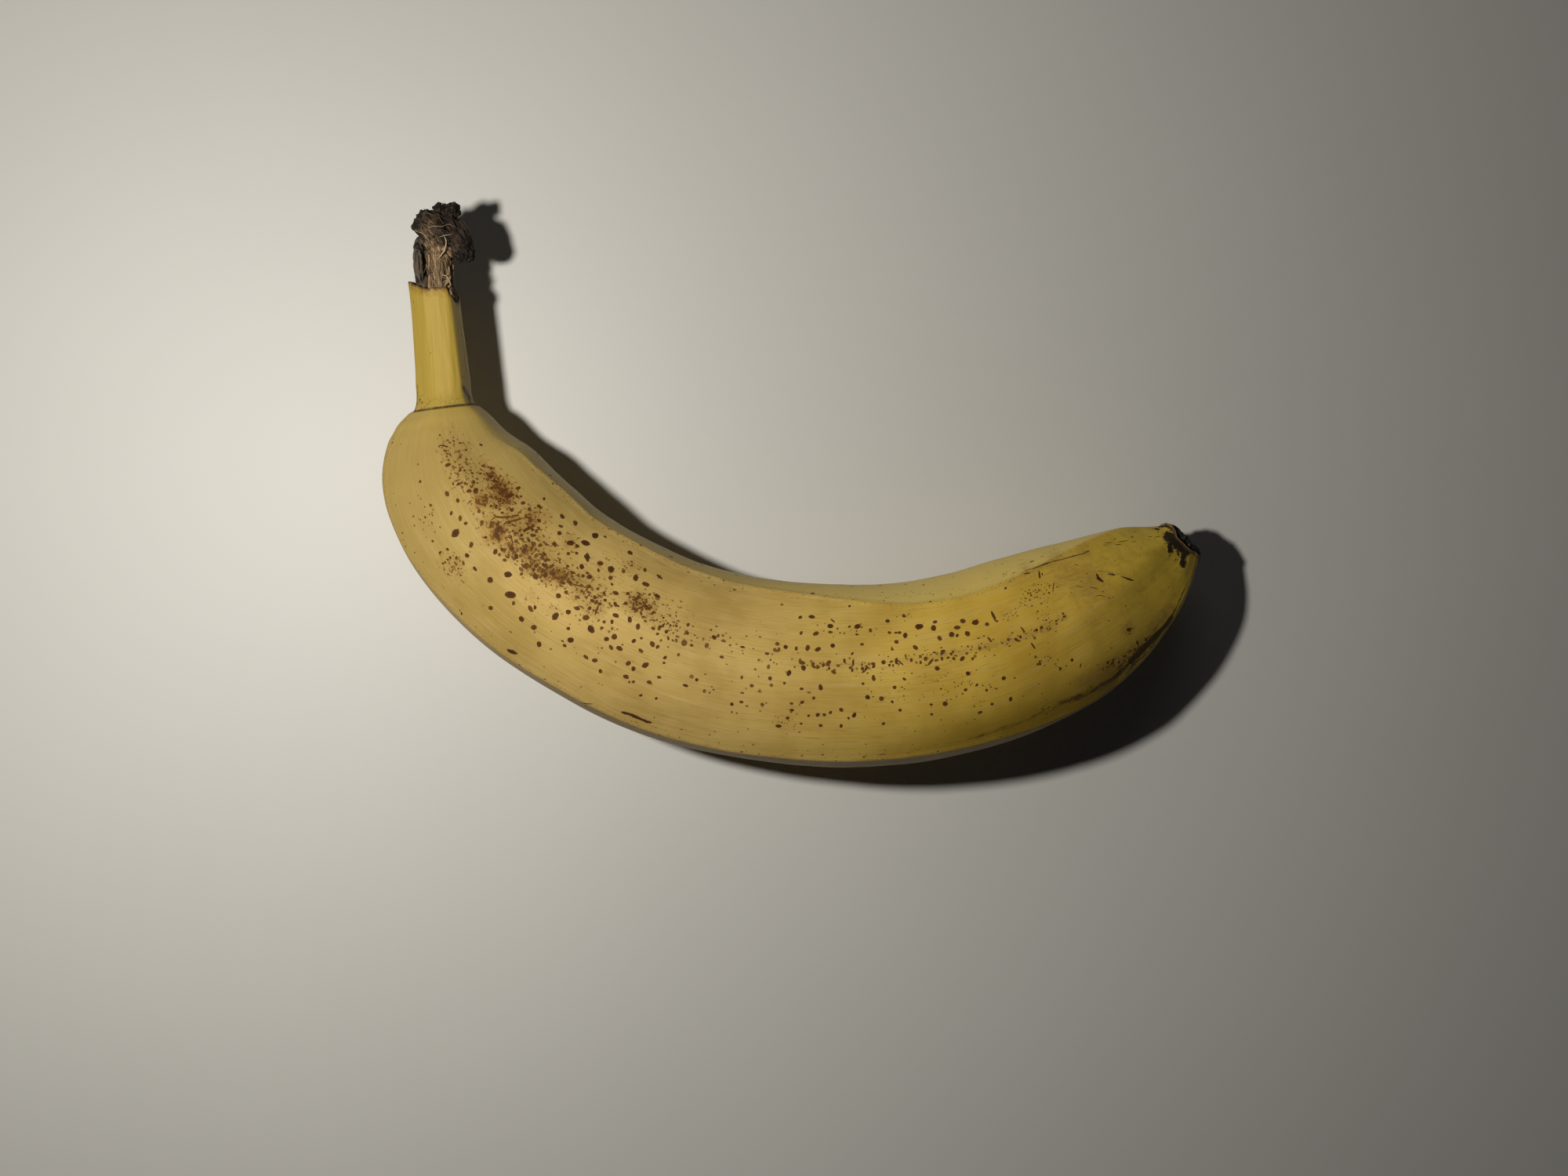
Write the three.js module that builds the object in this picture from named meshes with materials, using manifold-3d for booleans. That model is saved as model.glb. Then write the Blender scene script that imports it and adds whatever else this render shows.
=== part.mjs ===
// A ripe banana lying on its side, picked from its bunch: a five-sided curved fruit with a
// stalk that ends in the dry torn remains of the crown, and a dark dry scar at the blossom end.
//
// Units are millimetres, +Z is up and the table is z = 0. The bend lies flat: +X runs from the
// stalk end to the blossom end and +Y points to the inside of the bend. The whole fruit grew as
// one piece, so it is one closed solid.

import * as THREE from "three";
import { mergeVertices } from "three/addons/utils/BufferGeometryUtils.js";
import Module from "manifold-3d";

const wasm = await Module();
wasm.setup();

// ---------------------------------------------------------------- driving dimensions

// The ribs of the fruit, from the stalk's rim to the blossom end. "along" is the distance on the
// centre line, x, y, z a point of that line, "wide" and "tall" the half sizes of the section
// there.
const RIBS = [
  { along: -4, x: -75.5, y: 66.8, z: 20.0, wide: 5.6, tall: 5.3 },
  { along: 0, x: -75.1, y: 62.8, z: 20.0, wide: 5.5, tall: 5.2 },
  { along: 6, x: -74.4, y: 56.8, z: 20.0, wide: 5.6, tall: 5.1 },
  { along: 12, x: -73.8, y: 50.8, z: 19.9, wide: 5.8, tall: 5.2 },
  { along: 18, x: -73.3, y: 44.8, z: 19.8, wide: 6.1, tall: 5.4 },
  { along: 23.6, x: -72.9, y: 39.2, z: 19.7, wide: 6.7, tall: 6.0 },
  { along: 26.1, x: -72.8, y: 36.7, z: 19.5, wide: 9.7, tall: 7.8 },
  { along: 30, x: -72.6, y: 32.8, z: 19.2, wide: 13.3, tall: 10.4 },
  { along: 35, x: -71.7, y: 27.9, z: 18.8, wide: 16.6, tall: 13.4 },
  { along: 41, x: -69.5, y: 22.3, z: 18.4, wide: 19.0, tall: 16.3 },
  { along: 49, x: -65.4, y: 15.4, z: 18.1, wide: 20.3, tall: 18.8 },
  { along: 58, x: -59.6, y: 8.7, z: 18.0, wide: 20.8, tall: 20.2 },
  { along: 70, x: -50.8, y: 0.8, z: 18.4, wide: 20.8, tall: 20.6 },
  { along: 84, x: -39.3, y: -6.3, z: 18.5, wide: 20.9, tall: 20.7 },
  { along: 98, x: -26.7, y: -12.4, z: 18.5, wide: 21.1, tall: 20.7 },
  { along: 112, x: -13.4, y: -16.4, z: 18.5, wide: 21.3, tall: 20.7 },
  { along: 126, x: 0.3, y: -18.5, z: 18.5, wide: 21.6, tall: 20.7 },
  { along: 140, x: 14.1, y: -19.2, z: 18.5, wide: 21.8, tall: 20.7 },
  { along: 154, x: 28.1, y: -18.3, z: 18.4, wide: 21.6, tall: 20.5 },
  { along: 168, x: 41.7, y: -15.5, z: 18.0, wide: 21.3, tall: 20.2 },
  { along: 180, x: 53.1, y: -11.2, z: 17.1, wide: 20.8, tall: 19.6 },
  { along: 190, x: 62.0, y: -6.8, z: 16.0, wide: 19.2, tall: 18.4 },
  { along: 199, x: 70.2, y: -2.4, z: 15.3, wide: 17, tall: 15.6 },
  { along: 207, x: 77.4, y: 1.8, z: 14.3, wide: 14.1, tall: 11.6 },
  { along: 213, x: 82.1, y: 5.3, z: 13.2, wide: 11, tall: 8.4 },
  { along: 219, x: 86.5, y: 9.4, z: 12.2, wide: 6.4, tall: 5.2 },
  { along: 222, x: 88.7, y: 11.5, z: 11.7, wide: 5.6, tall: 4.6 },
];

// The shape of the section at each rib. "angular" says how far it goes from an ellipse (0) to
// five flat sides (1), "twist" turns its edges in degrees, "outer" and "inner" move only the
// edge on the outside and the one on the inside of the bend, and "flatTop" planes off the
// stalk's upper edge (1 is not at all).
const SECTIONS = [
  { along: -4, angular: 0.8, twist: -16, outer: 0, inner: 0, flatTop: 0.8 },
  { along: 0, angular: 0.8, twist: -16, outer: 0, inner: 0, flatTop: 0.8 },
  { along: 6, angular: 0.8, twist: -16, outer: 0, inner: 0, flatTop: 0.8 },
  { along: 12, angular: 0.8, twist: -16, outer: 0, inner: 0, flatTop: 0.8 },
  { along: 18, angular: 0.8, twist: -15, outer: 0, inner: 0, flatTop: 0.82 },
  { along: 23.6, angular: 0.78, twist: -13, outer: 0, inner: 0, flatTop: 0.86 },
  { along: 26.1, angular: 0.7, twist: -11, outer: 2, inner: 0, flatTop: 0.88 },
  { along: 30, angular: 0.62, twist: -10, outer: 4, inner: 0, flatTop: 0.9 },
  { along: 35, angular: 0.54, twist: -7, outer: 5, inner: 0, flatTop: 0.95 },
  { along: 41, angular: 0.48, twist: -4, outer: 6, inner: 0, flatTop: 1 },
  { along: 49, angular: 0.42, twist: -2, outer: 6, inner: 0, flatTop: 1 },
  { along: 58, angular: 0.38, twist: 0, outer: 5, inner: 0, flatTop: 1 },
  { along: 70, angular: 0.36, twist: 0, outer: 5, inner: 0, flatTop: 1 },
  { along: 84, angular: 0.35, twist: 0, outer: 5, inner: 0, flatTop: 1 },
  { along: 98, angular: 0.35, twist: 0, outer: 5, inner: 0, flatTop: 1 },
  { along: 112, angular: 0.35, twist: -1, outer: 6, inner: 0, flatTop: 1 },
  { along: 126, angular: 0.35, twist: -2, outer: 8, inner: -1, flatTop: 1 },
  { along: 140, angular: 0.35, twist: -4, outer: 11, inner: -4, flatTop: 1 },
  { along: 154, angular: 0.36, twist: -7, outer: 15, inner: -7, flatTop: 1 },
  { along: 168, angular: 0.38, twist: -10, outer: 18, inner: -6, flatTop: 1 },
  { along: 180, angular: 0.42, twist: -11, outer: 15, inner: -4, flatTop: 1 },
  { along: 190, angular: 0.46, twist: -9, outer: 9, inner: -2, flatTop: 1 },
  { along: 199, angular: 0.55, twist: -4, outer: 7, inner: 0, flatTop: 1 },
  { along: 207, angular: 0.63, twist: 4, outer: 8, inner: 0, flatTop: 1 },
  { along: 213, angular: 0.68, twist: 9, outer: 8, inner: 0, flatTop: 1 },
  { along: 219, angular: 0.55, twist: 8, outer: 6, inner: 0, flatTop: 1 },
  { along: 222, angular: 0.45, twist: 8, outer: 4, inner: 0, flatTop: 1 },
];

// The five edges of the skin, in degrees round the section: 0 is the outside of the bend, 90 the
// top and 180 the inside. The widest side, between the last two, is the one it lies on.
const EDGES = [30, 100, 148, 222, 305];
const OUTER_EDGE = 0; // the edge that "outer" moves
const SOFT_TOP_EDGE = 1; // the edge that dies out along the stalk
const INNER_EDGE = 2; // the edge that "inner" moves
const EDGE_SHARPNESS = 12; // the power that joins the sides: higher gives sharper edges

const NECK = 24; // where the stalk meets the body, along the centre line
const NECK_LIP = 0.55; // the body's skin stands this proud of the stalk
const NECK_STEP = 0.5; // length of that step
const NECK_FADE = 5; // length over which the lip melts into the shoulder
const NECK_SLANT = 0.45; // the neck sits this much further along on the outside of the bend
const NECK_SLANT_REACH = 9; // length over which that slant dies out on both sides of the neck

const TURN_REACH = 4; // the line's direction is taken over this length before and behind

const RIM_MIDDLE = -1.45; // where the stalk's skin tore off, along the centre line
const RIM_SLANT = 1.8; // how much longer it stayed on the outside of the bend than on the top
const RIM_NOTCH = 1.3; // the further bite out of it on the inside of the bend
const RIM_FADE = 10; // length over which the slant dies out along the stalk
const RIM_LIP = 0.8; // thickness of the skin round the torn end
const RIM_DEPTH = 1.6; // depth of the hollow inside it

const BLOSSOM_END = 219; // where the skin ends
const SCAR_HEIGHT = 1.4; // the dry scar stands this far out of it
const SCAR_GROOVE = 0.45; // depth of the crease between skin and scar

const SIDES = 40; // faces round the fruit
const CROWN_SIDES = 22; // faces round each piece of the crown
const WELD = 0.01; // points closer than this become one where pieces are joined

const PEEL_YELLOW = 0xc9a53f;

// ---------------------------------------------------------------- the section and the line

// A value of a table at a distance along: a smooth cubic through its neighbours.
function valueAlong(table, name, along) {
  const last = table.length - 1;
  let i = 0;
  while (i < last - 1 && table[i + 1].along <= along) i += 1;
  const slope = (n) => {
    const a = table[Math.max(n - 1, 0)];
    const b = table[Math.min(n + 1, last)];
    return (b[name] - a[name]) / (b.along - a.along);
  };
  const gap = table[i + 1].along - table[i].along;
  const t = (along - table[i].along) / gap;
  return (
    (2 * t ** 3 - 3 * t ** 2 + 1) * table[i][name] +
    (t ** 3 - 2 * t ** 2 + t) * gap * slope(i) +
    (3 * t ** 2 - 2 * t ** 3) * table[i + 1][name] +
    (t ** 3 - t ** 2) * gap * slope(i + 1)
  );
}

const ribValue = (name, along) => valueAlong(RIBS, name, along);
const sectionValue = (name, along) => valueAlong(SECTIONS, name, along);
const radians = THREE.MathUtils.degToRad;
const step = (from, to, value) => THREE.MathUtils.smoothstep(value, from, to);

// Radius of the section at an angle, 1 on the enclosing ellipse. Five flat sides meet in soft
// edges: each side holds the radius down to its own distance, and a high power joins them.
function sectionRadius(angle, along) {
  const edges = EDGES.map((edge) => edge + sectionValue("twist", along));
  edges[OUTER_EDGE] += sectionValue("outer", along);
  edges[INNER_EDGE] += sectionValue("inner", along);
  let sum = 0;
  const press = (middle, distance) => {
    const facing = Math.cos(radians(angle - middle));
    if (facing > 0) sum += (facing / distance) ** EDGE_SHARPNESS;
  };
  edges.forEach((from, i) => {
    const to = i + 1 < edges.length ? edges[i + 1] : edges[0] + 360;
    press((from + to) / 2, Math.cos(radians((to - from) / 2)));
  });
  const flatTop = sectionValue("flatTop", along);
  if (flatTop < 0.995) press(edges[SOFT_TOP_EDGE], flatTop);
  return 1 + sectionValue("angular", along) * (sum ** (-1 / EDGE_SHARPNESS) - 1);
}

function centre(along) {
  return new THREE.Vector3(
    ribValue("x", along),
    ribValue("y", along),
    ribValue("z", along),
  );
}

// The directions at a rib: along the fruit, out to the outside of the bend, and up.
function directions(along) {
  const behind = centre(Math.max(along - TURN_REACH, RIBS[0].along));
  const ahead = centre(Math.min(along + TURN_REACH, RIBS.at(-1).along));
  const forward = ahead.sub(behind).normalize();
  const out = new THREE.Vector3(forward.y, -forward.x, 0).normalize();
  const up = new THREE.Vector3().crossVectors(out, forward);
  return { out, up };
}

// How much further along the neck's form lies at an angle than in the middle.
function neckShift(along, angle) {
  const near = Math.exp(-(((along - NECK) / NECK_SLANT_REACH) ** 2));
  return NECK_SLANT * near * Math.cos(radians(angle));
}

// A point of the skin. "shrink" draws it in towards the centre line, in millimetres.
function skinPoint(along, angle, shrink = 0) {
  const { out, up } = directions(along);
  const formAlong = along - neckShift(along, angle);
  const r = sectionRadius(angle, formAlong);
  const lip =
    NECK_LIP *
    step(NECK, NECK + NECK_STEP, formAlong) *
    Math.exp(-Math.max(0, formAlong - NECK) / NECK_FADE);
  const wide = ribValue("wide", formAlong) * r + lip - shrink;
  const tall = ribValue("tall", formAlong) * r + lip - shrink;
  const point = centre(along)
    .addScaledVector(out, wide * Math.cos(radians(angle)))
    .addScaledVector(up, tall * Math.sin(radians(angle)));
  point.z = Math.max(point.z, 0); // the side it lies on is pressed flat on the table
  return point;
}

// ---------------------------------------------------------------- closed surfaces from rings

// Joins rings of points, each with the same count, and closes both ends on a middle point.
function closedSweep(rings, firstPole, lastPole) {
  const sides = rings[0].length;
  const points = [firstPole, ...rings.flat(), lastPole];
  const at = (ring, k) => 1 + ring * sides + (k % sides);
  const faces = [];
  for (let k = 0; k < sides; k += 1) {
    faces.push(0, at(0, k), at(0, k + 1));
    for (let ring = 0; ring + 1 < rings.length; ring += 1) {
      faces.push(at(ring, k), at(ring + 1, k), at(ring + 1, k + 1));
      faces.push(at(ring, k), at(ring + 1, k + 1), at(ring, k + 1));
    }
    faces.push(at(rings.length - 1, k), points.length - 1, at(rings.length - 1, k + 1));
  }
  const geometry = new THREE.BufferGeometry().setFromPoints(points);
  geometry.setIndex(faces);
  return geometry;
}

const average = (ring) =>
  ring.reduce((sum, p) => sum.add(p), new THREE.Vector3()).divideScalar(ring.length);

const angles = (count) => Array.from({ length: count }, (_, k) => (k * 360) / count);

// A geometry as a solid that can be joined. A surface that was wound inwards is turned round.
function solid(geometry, weld = 1e-4) {
  const bare = geometry.clone();
  bare.deleteAttribute("normal");
  bare.deleteAttribute("uv");
  const merged = mergeVertices(bare, weld);
  const mesh = () =>
    new wasm.Mesh({
      numProp: 3,
      vertProperties: merged.attributes.position.array,
      triVerts: new Uint32Array(merged.index.array),
    });
  const made = new wasm.Manifold(mesh());
  if (made.volume() > 0) return made;
  const index = merged.index.array;
  for (let i = 0; i < index.length; i += 3) [index[i + 1], index[i + 2]] = [index[i + 2], index[i + 1]];
  return new wasm.Manifold(mesh());
}

// The surface of a solid as a geometry again.
function surfaceOf(manifold) {
  const made = manifold.getMesh();
  const geometry = new THREE.BufferGeometry();
  geometry.setAttribute("position", new THREE.BufferAttribute(made.vertProperties, 3));
  geometry.setIndex(new THREE.BufferAttribute(made.triVerts, 1));
  return geometry;
}

// ---------------------------------------------------------------- the skin, from rim to scar

// Distances along for the rings: close where the form turns fast, wide along the belly.
function ringStations() {
  const stretches = [
    [0, 2, 2],
    [2, 23, 7],
    [23, NECK, 2],
    [NECK, NECK + NECK_STEP, 1],
    [NECK + NECK_STEP, 36, 8],
    [36, 60, 8],
    [60, 180, 28],
    [180, 206, 10],
    [206, BLOSSOM_END, 8],
  ];
  const stations = [0];
  for (const [from, to, count] of stretches)
    for (let n = 1; n <= count; n += 1) stations.push(from + ((to - from) * n) / count);
  return stations;
}

// How far the torn rim is from the start of the centre line at an angle round the stalk.
function rimShift(angle) {
  const outside = Math.cos(radians(angle));
  return RIM_MIDDLE - RIM_SLANT * outside ** 3 + RIM_NOTCH * Math.max(0, -outside) ** 4;
}

// The torn rim and the neck are slanted, so near them a ring slides along as it goes round.
function skinRing(along, shrink = 0) {
  const slide = 1 - step(0, RIM_FADE, along);
  return angles(SIDES).map((angle) => {
    const slid = along + slide * rimShift(angle) + neckShift(along, angle);
    return skinPoint(slid, angle, shrink);
  });
}

// The dry scar: a rough plug that stands out of the skin, behind a fine crease.
function scarRing(height, shrink) {
  return angles(SIDES).map((angle) => {
    const a = radians(angle);
    const rough = 0.22 * Math.sin(5 * a + 1) + 0.16 * Math.sin(9 * a + 2.2) + 0.12 * Math.sin(13 * a);
    return skinPoint(BLOSSOM_END + height + 0.5 * rough, angle, shrink + rough);
  });
}

function fruitGeometry() {
  const rings = [
    skinRing(RIM_DEPTH, RIM_LIP + 0.5),
    skinRing(0.25, RIM_LIP),
    ...ringStations().map((along) => skinRing(along)),
    skinRing(BLOSSOM_END + 0.25, SCAR_GROOVE),
    scarRing(0.55, 0.15),
    scarRing(1.2, 0.35),
    scarRing(SCAR_HEIGHT, 1.3),
    scarRing(SCAR_HEIGHT - 0.4, 2.8),
  ];
  return closedSweep(rings, average(rings[0]), average(rings.at(-1)));
}

// ---------------------------------------------------------------- the dry torn crown

// A lump of dried tissue: an ellipsoid whose surface swells and sinks with the waves of the
// formula, turned about the vertical.
function lump({ at, half, turn, waves, phase }) {
  const rows = Math.round(CROWN_SIDES * 0.7);
  const point = (across, round) => {
    const u = radians(across);
    const v = radians(round);
    const swell =
      1 +
      waves * Math.sin(3 * v + 2 * u + phase) +
      0.6 * waves * Math.sin(5 * v - 3 * u + 2 * phase) +
      0.5 * waves * Math.sin(7 * u + phase);
    return new THREE.Vector3(
      half[0] * Math.cos(u) * swell,
      half[1] * Math.sin(u) * Math.cos(v) * swell,
      half[2] * Math.sin(u) * Math.sin(v) * swell,
    );
  };
  const rings = [];
  for (let row = 1; row < rows; row += 1)
    rings.push(angles(CROWN_SIDES).map((round) => point((180 * row) / rows, round)));
  const geometry = closedSweep(rings, point(0, 0), point(180, 0));
  geometry.rotateZ(radians(turn));
  geometry.translate(...at);
  return geometry;
}

// The torn column inside the rim: strands give its section seven uneven flutes.
function coreGeometry() {
  const line = [
    { x: -75.2, y: 59.0, z: 20.0, wide: 3.6, tall: 3.5 },
    { x: -74.9, y: 63.5, z: 20.0, wide: 3.9, tall: 3.7 },
    { x: -74.5, y: 67.0, z: 20.2, wide: 3.4, tall: 3.4 },
    { x: -74.2, y: 70.0, z: 20.4, wide: 3.1, tall: 3.2 },
    { x: -74.0, y: 73.0, z: 20.7, wide: 3.3, tall: 3.3 },
    { x: -73.8, y: 76.0, z: 21.0, wide: 3.4, tall: 3.4 },
  ];
  const rings = line.map((rib, n) =>
    angles(CROWN_SIDES).map((angle) => {
      const a = radians(angle);
      const flutes = 1 + 0.09 * Math.sin(7 * a + 0.8 * n) + 0.07 * Math.sin(3 * a - 0.5 * n);
      return new THREE.Vector3(
        rib.x + rib.wide * flutes * Math.cos(a),
        rib.y + 0.3 * Math.sin(4 * a + n),
        rib.z + rib.tall * flutes * Math.sin(a),
      );
    }),
  );
  return closedSweep(rings, average(rings[0]), average(rings.at(-1)));
}

// Lumps of the crown: the big piece that folded over to the inside of the bend, its blunt knob,
// the strip of bark left standing on the outside, and the black curled edge of the skin.
const CROWN_LUMPS = [
  { at: [-75.0, 77.4, 21.3], half: [4.2, 3.9, 4.4], turn: -25, waves: 0.045, phase: 1.4 },
  { at: [-70.6, 75.4, 20.5], half: [6.0, 2.9, 4.2], turn: -52, waves: 0.06, phase: 2.1 },
  { at: [-72.3, 80.4, 21.6], half: [2.4, 2.0, 2.7], turn: 20, waves: 0.09, phase: 4.0 },
  { at: [-78.6, 69.6, 20.6], half: [6.4, 1.3, 3.1], turn: 92, waves: 0.06, phase: 1.2 },
  { at: [-71.2, 63.2, 19.8], half: [2.4, 1.1, 2.8], turn: -56, waves: 0.1, phase: 3.1 },
];

// ---------------------------------------------------------------- one solid

function bananaGeometry() {
  let whole = solid(fruitGeometry()).add(solid(coreGeometry()));
  for (const one of CROWN_LUMPS) whole = whole.add(solid(lump(one)));
  // Pores that the lumps seal off are filled: of the closed surfaces only the outer one is kept.
  const surfaces = solid(surfaceOf(whole), WELD).decompose();
  const geometry = surfaceOf(surfaces.reduce((a, b) => (b.volume() > a.volume() ? b : a)));
  geometry.computeVertexNormals();
  return geometry;
}

const peel = new THREE.MeshStandardMaterial({
  color: PEEL_YELLOW,
  roughness: 0.5,
  metalness: 0,
});

const banana = new THREE.Mesh(bananaGeometry(), peel);
banana.name = "banana";

// The origin is under the middle of the fruit's box, on the table.
const box = new THREE.Box3().setFromObject(banana);
const middle = box.getCenter(new THREE.Vector3());
banana.position.set(-middle.x, -middle.y, -box.min.z);

const fruit = new THREE.Group();
fruit.add(banana);

export default fruit;
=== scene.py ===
# %% [markdown]
# # A ripe banana
#
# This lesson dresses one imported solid, a banana lying on its side, with a finer skin and with
# materials. The fruit has four surfaces worth a mesh of their own: the yellow peel from the
# stalk's torn rim to the blossom end, the dry black remains of the crown, the loose fibres that
# hang out of it, and the rough scar at the blossom end.
#
# Everything is worked out in millimetres with numpy and only becomes metres when a mesh is made.
# Each shape is a formula of two parameters on a grid, so one call works out all of its points.

import bpy
import mathutils
import numpy as np
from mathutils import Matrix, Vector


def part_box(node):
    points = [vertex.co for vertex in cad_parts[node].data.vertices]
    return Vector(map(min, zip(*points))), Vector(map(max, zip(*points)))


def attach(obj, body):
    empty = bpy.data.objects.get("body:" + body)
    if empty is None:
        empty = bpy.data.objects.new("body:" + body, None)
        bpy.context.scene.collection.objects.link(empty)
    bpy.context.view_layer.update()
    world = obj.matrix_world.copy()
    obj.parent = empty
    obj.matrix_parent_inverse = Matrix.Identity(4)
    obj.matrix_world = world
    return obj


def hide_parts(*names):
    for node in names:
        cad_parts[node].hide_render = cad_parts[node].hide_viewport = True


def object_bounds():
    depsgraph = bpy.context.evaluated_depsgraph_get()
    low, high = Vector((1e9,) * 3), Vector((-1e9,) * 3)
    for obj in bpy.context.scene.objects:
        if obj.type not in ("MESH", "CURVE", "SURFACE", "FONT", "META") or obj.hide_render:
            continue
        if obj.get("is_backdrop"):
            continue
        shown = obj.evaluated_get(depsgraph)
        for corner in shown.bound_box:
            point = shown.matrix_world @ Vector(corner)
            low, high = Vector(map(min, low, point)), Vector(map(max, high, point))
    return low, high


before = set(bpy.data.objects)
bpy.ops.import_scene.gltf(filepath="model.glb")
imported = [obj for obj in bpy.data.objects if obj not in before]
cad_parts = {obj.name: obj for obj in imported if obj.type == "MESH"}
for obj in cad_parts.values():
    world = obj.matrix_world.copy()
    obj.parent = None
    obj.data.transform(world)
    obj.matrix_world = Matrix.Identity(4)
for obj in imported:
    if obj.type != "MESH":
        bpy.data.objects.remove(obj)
cad_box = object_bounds()
LOW, HIGH = (np.array(corner) * 1000 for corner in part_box("banana"))
print(f"the packed banana is {np.round(HIGH - LOW, 1)} mm")

# %% [markdown]
# ## The camera
#
# The fruit is looked at from straight above, from about half a metre: near enough for the skin's
# roundness to show. The camera comes first because the larger spots are placed by where the
# camera sees them. It could be aimed with a constraint, but a camera without any turn already
# looks straight down, with +Y at the top of the picture.
#
# The ribs below are measured from the point under the camera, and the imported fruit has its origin
# under the middle of its own box. ORIGIN is the first point in the frame of the second.

# %% Camera settings
CAMERA_HEIGHT = 520.0  # mm over the table
FOCAL_LENGTH = 53.35  # mm, on a sensor 36 mm wide
SIGHT_HEIGHT = 20.0  # mm: the level at which a place seen by the camera is given
ORIGIN = np.array([-2.516, -21.963, 0.0])  # mm: the point under the camera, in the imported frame


def seen_at(points):
    """Where the camera sees points: each is moved along its line of sight to the level of
    SIGHT_HEIGHT, so x and y shrink by how much nearer to the camera the point is."""
    nearer = (CAMERA_HEIGHT - SIGHT_HEIGHT) / (CAMERA_HEIGHT - points[..., 2:])
    return points[..., :2] * nearer


# %% [markdown]
# ## Smooth random fields
#
# Nothing on a fruit is quite even. Relief and colour both need fields that wander smoothly, and
# the same ones on every run. Blender has a noise function, but it takes one point at a time. This
# one gives every corner of a lattice a fixed random number and blends the eight round a point,
# for a whole array at once.

# %% Noise for whole arrays
def noise(points, seed=0):
    """A field from -1 to 1: the numbers of the eight lattice corners round a point, each weighted
    by how near the point is to it, with eased steps so that no crease shows at a cell's wall."""
    cell = np.floor(points).astype(np.int64)
    t = points - cell
    t = t * t * t * (t * (t * 6 - 15) + 10)
    total = np.zeros(points.shape[:-1])
    for corner in np.ndindex(2, 2, 2):
        at = cell + corner
        mixed = at[..., 0] * 73856093 ^ at[..., 1] * 19349663 ^ at[..., 2] * 83492791 ^ seed * 7919
        mixed = (mixed ^ mixed >> 13) * 1274126177 & 0xFFFFFFFF
        number = ((mixed ^ mixed >> 16) & 0xFFFF) / 32767.5 - 1
        total += number * np.where(corner, t, 1 - t).prod(axis=-1)
    return total


def rough(points, octaves, seed=0):
    """Noise on noise: each octave is half as large and twice as fine as the one before."""
    return sum(noise(points * 2**n, seed + n) / 2**n for n in range(octaves))


def ease(low, high, value):
    """0 below low, 1 above high, and a soft S between them."""
    t = np.clip((value - low) / (high - low), 0, 1)
    return t * t * (3 - 2 * t)


def place(x, y, z):
    """Three arrays, or numbers, as one array of points."""
    return np.stack(np.broadcast_arrays(x, y, z), axis=-1).astype(float)


def cosine(degrees):
    return np.cos(np.radians(degrees))


def sine(degrees):
    return np.sin(np.radians(degrees))


def bell(offset, width):
    """1 where the offset is none, falling off softly on both sides, to 0.37 at the width."""
    return np.exp(-((offset / width) ** 2))


def unit(arrows):
    """Arrows in the same directions, each with a length of one."""
    return arrows / np.linalg.norm(arrows, axis=-1, keepdims=True)


def even_angles(sides):
    """The angles of a ring's points, in degrees."""
    return np.arange(sides) * 360 / sides


def circle(radius, angle, z=0):
    """Points on a circle: noise that is read there closes round a ring."""
    return place(radius * cosine(angle), radius * sine(angle), z)


def turn_from(start, stop):
    """Degrees from one angle to another the short way round, from -180 to 180."""
    return (stop - start + 180) % 360 - 180


def cubic(t, start, leave, stop, arrive, gap=1):
    """A cubic from start to stop while t goes from 0 to 1. It leaves and arrives with the slopes
    given, which are per unit of a length that goes from 0 to gap meanwhile."""
    return (
        (2 * t**3 - 3 * t**2 + 1) * start
        + (t**3 - 2 * t**2 + t) * gap * leave
        + (3 * t**2 - 2 * t**3) * stop
        + (t**3 - t**2) * gap * arrive
    )


# %% [markdown]
# ## The form of the fruit
#
# A banana is a bent five-sided cushion. Its form could be sculpted, but a fruit that has to fit a
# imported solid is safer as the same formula: ribs along a bent line, each with half a width, half
# a height and a number that says how angular its section is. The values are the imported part's
# own, and a smooth curve through them gives every section between.

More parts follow.
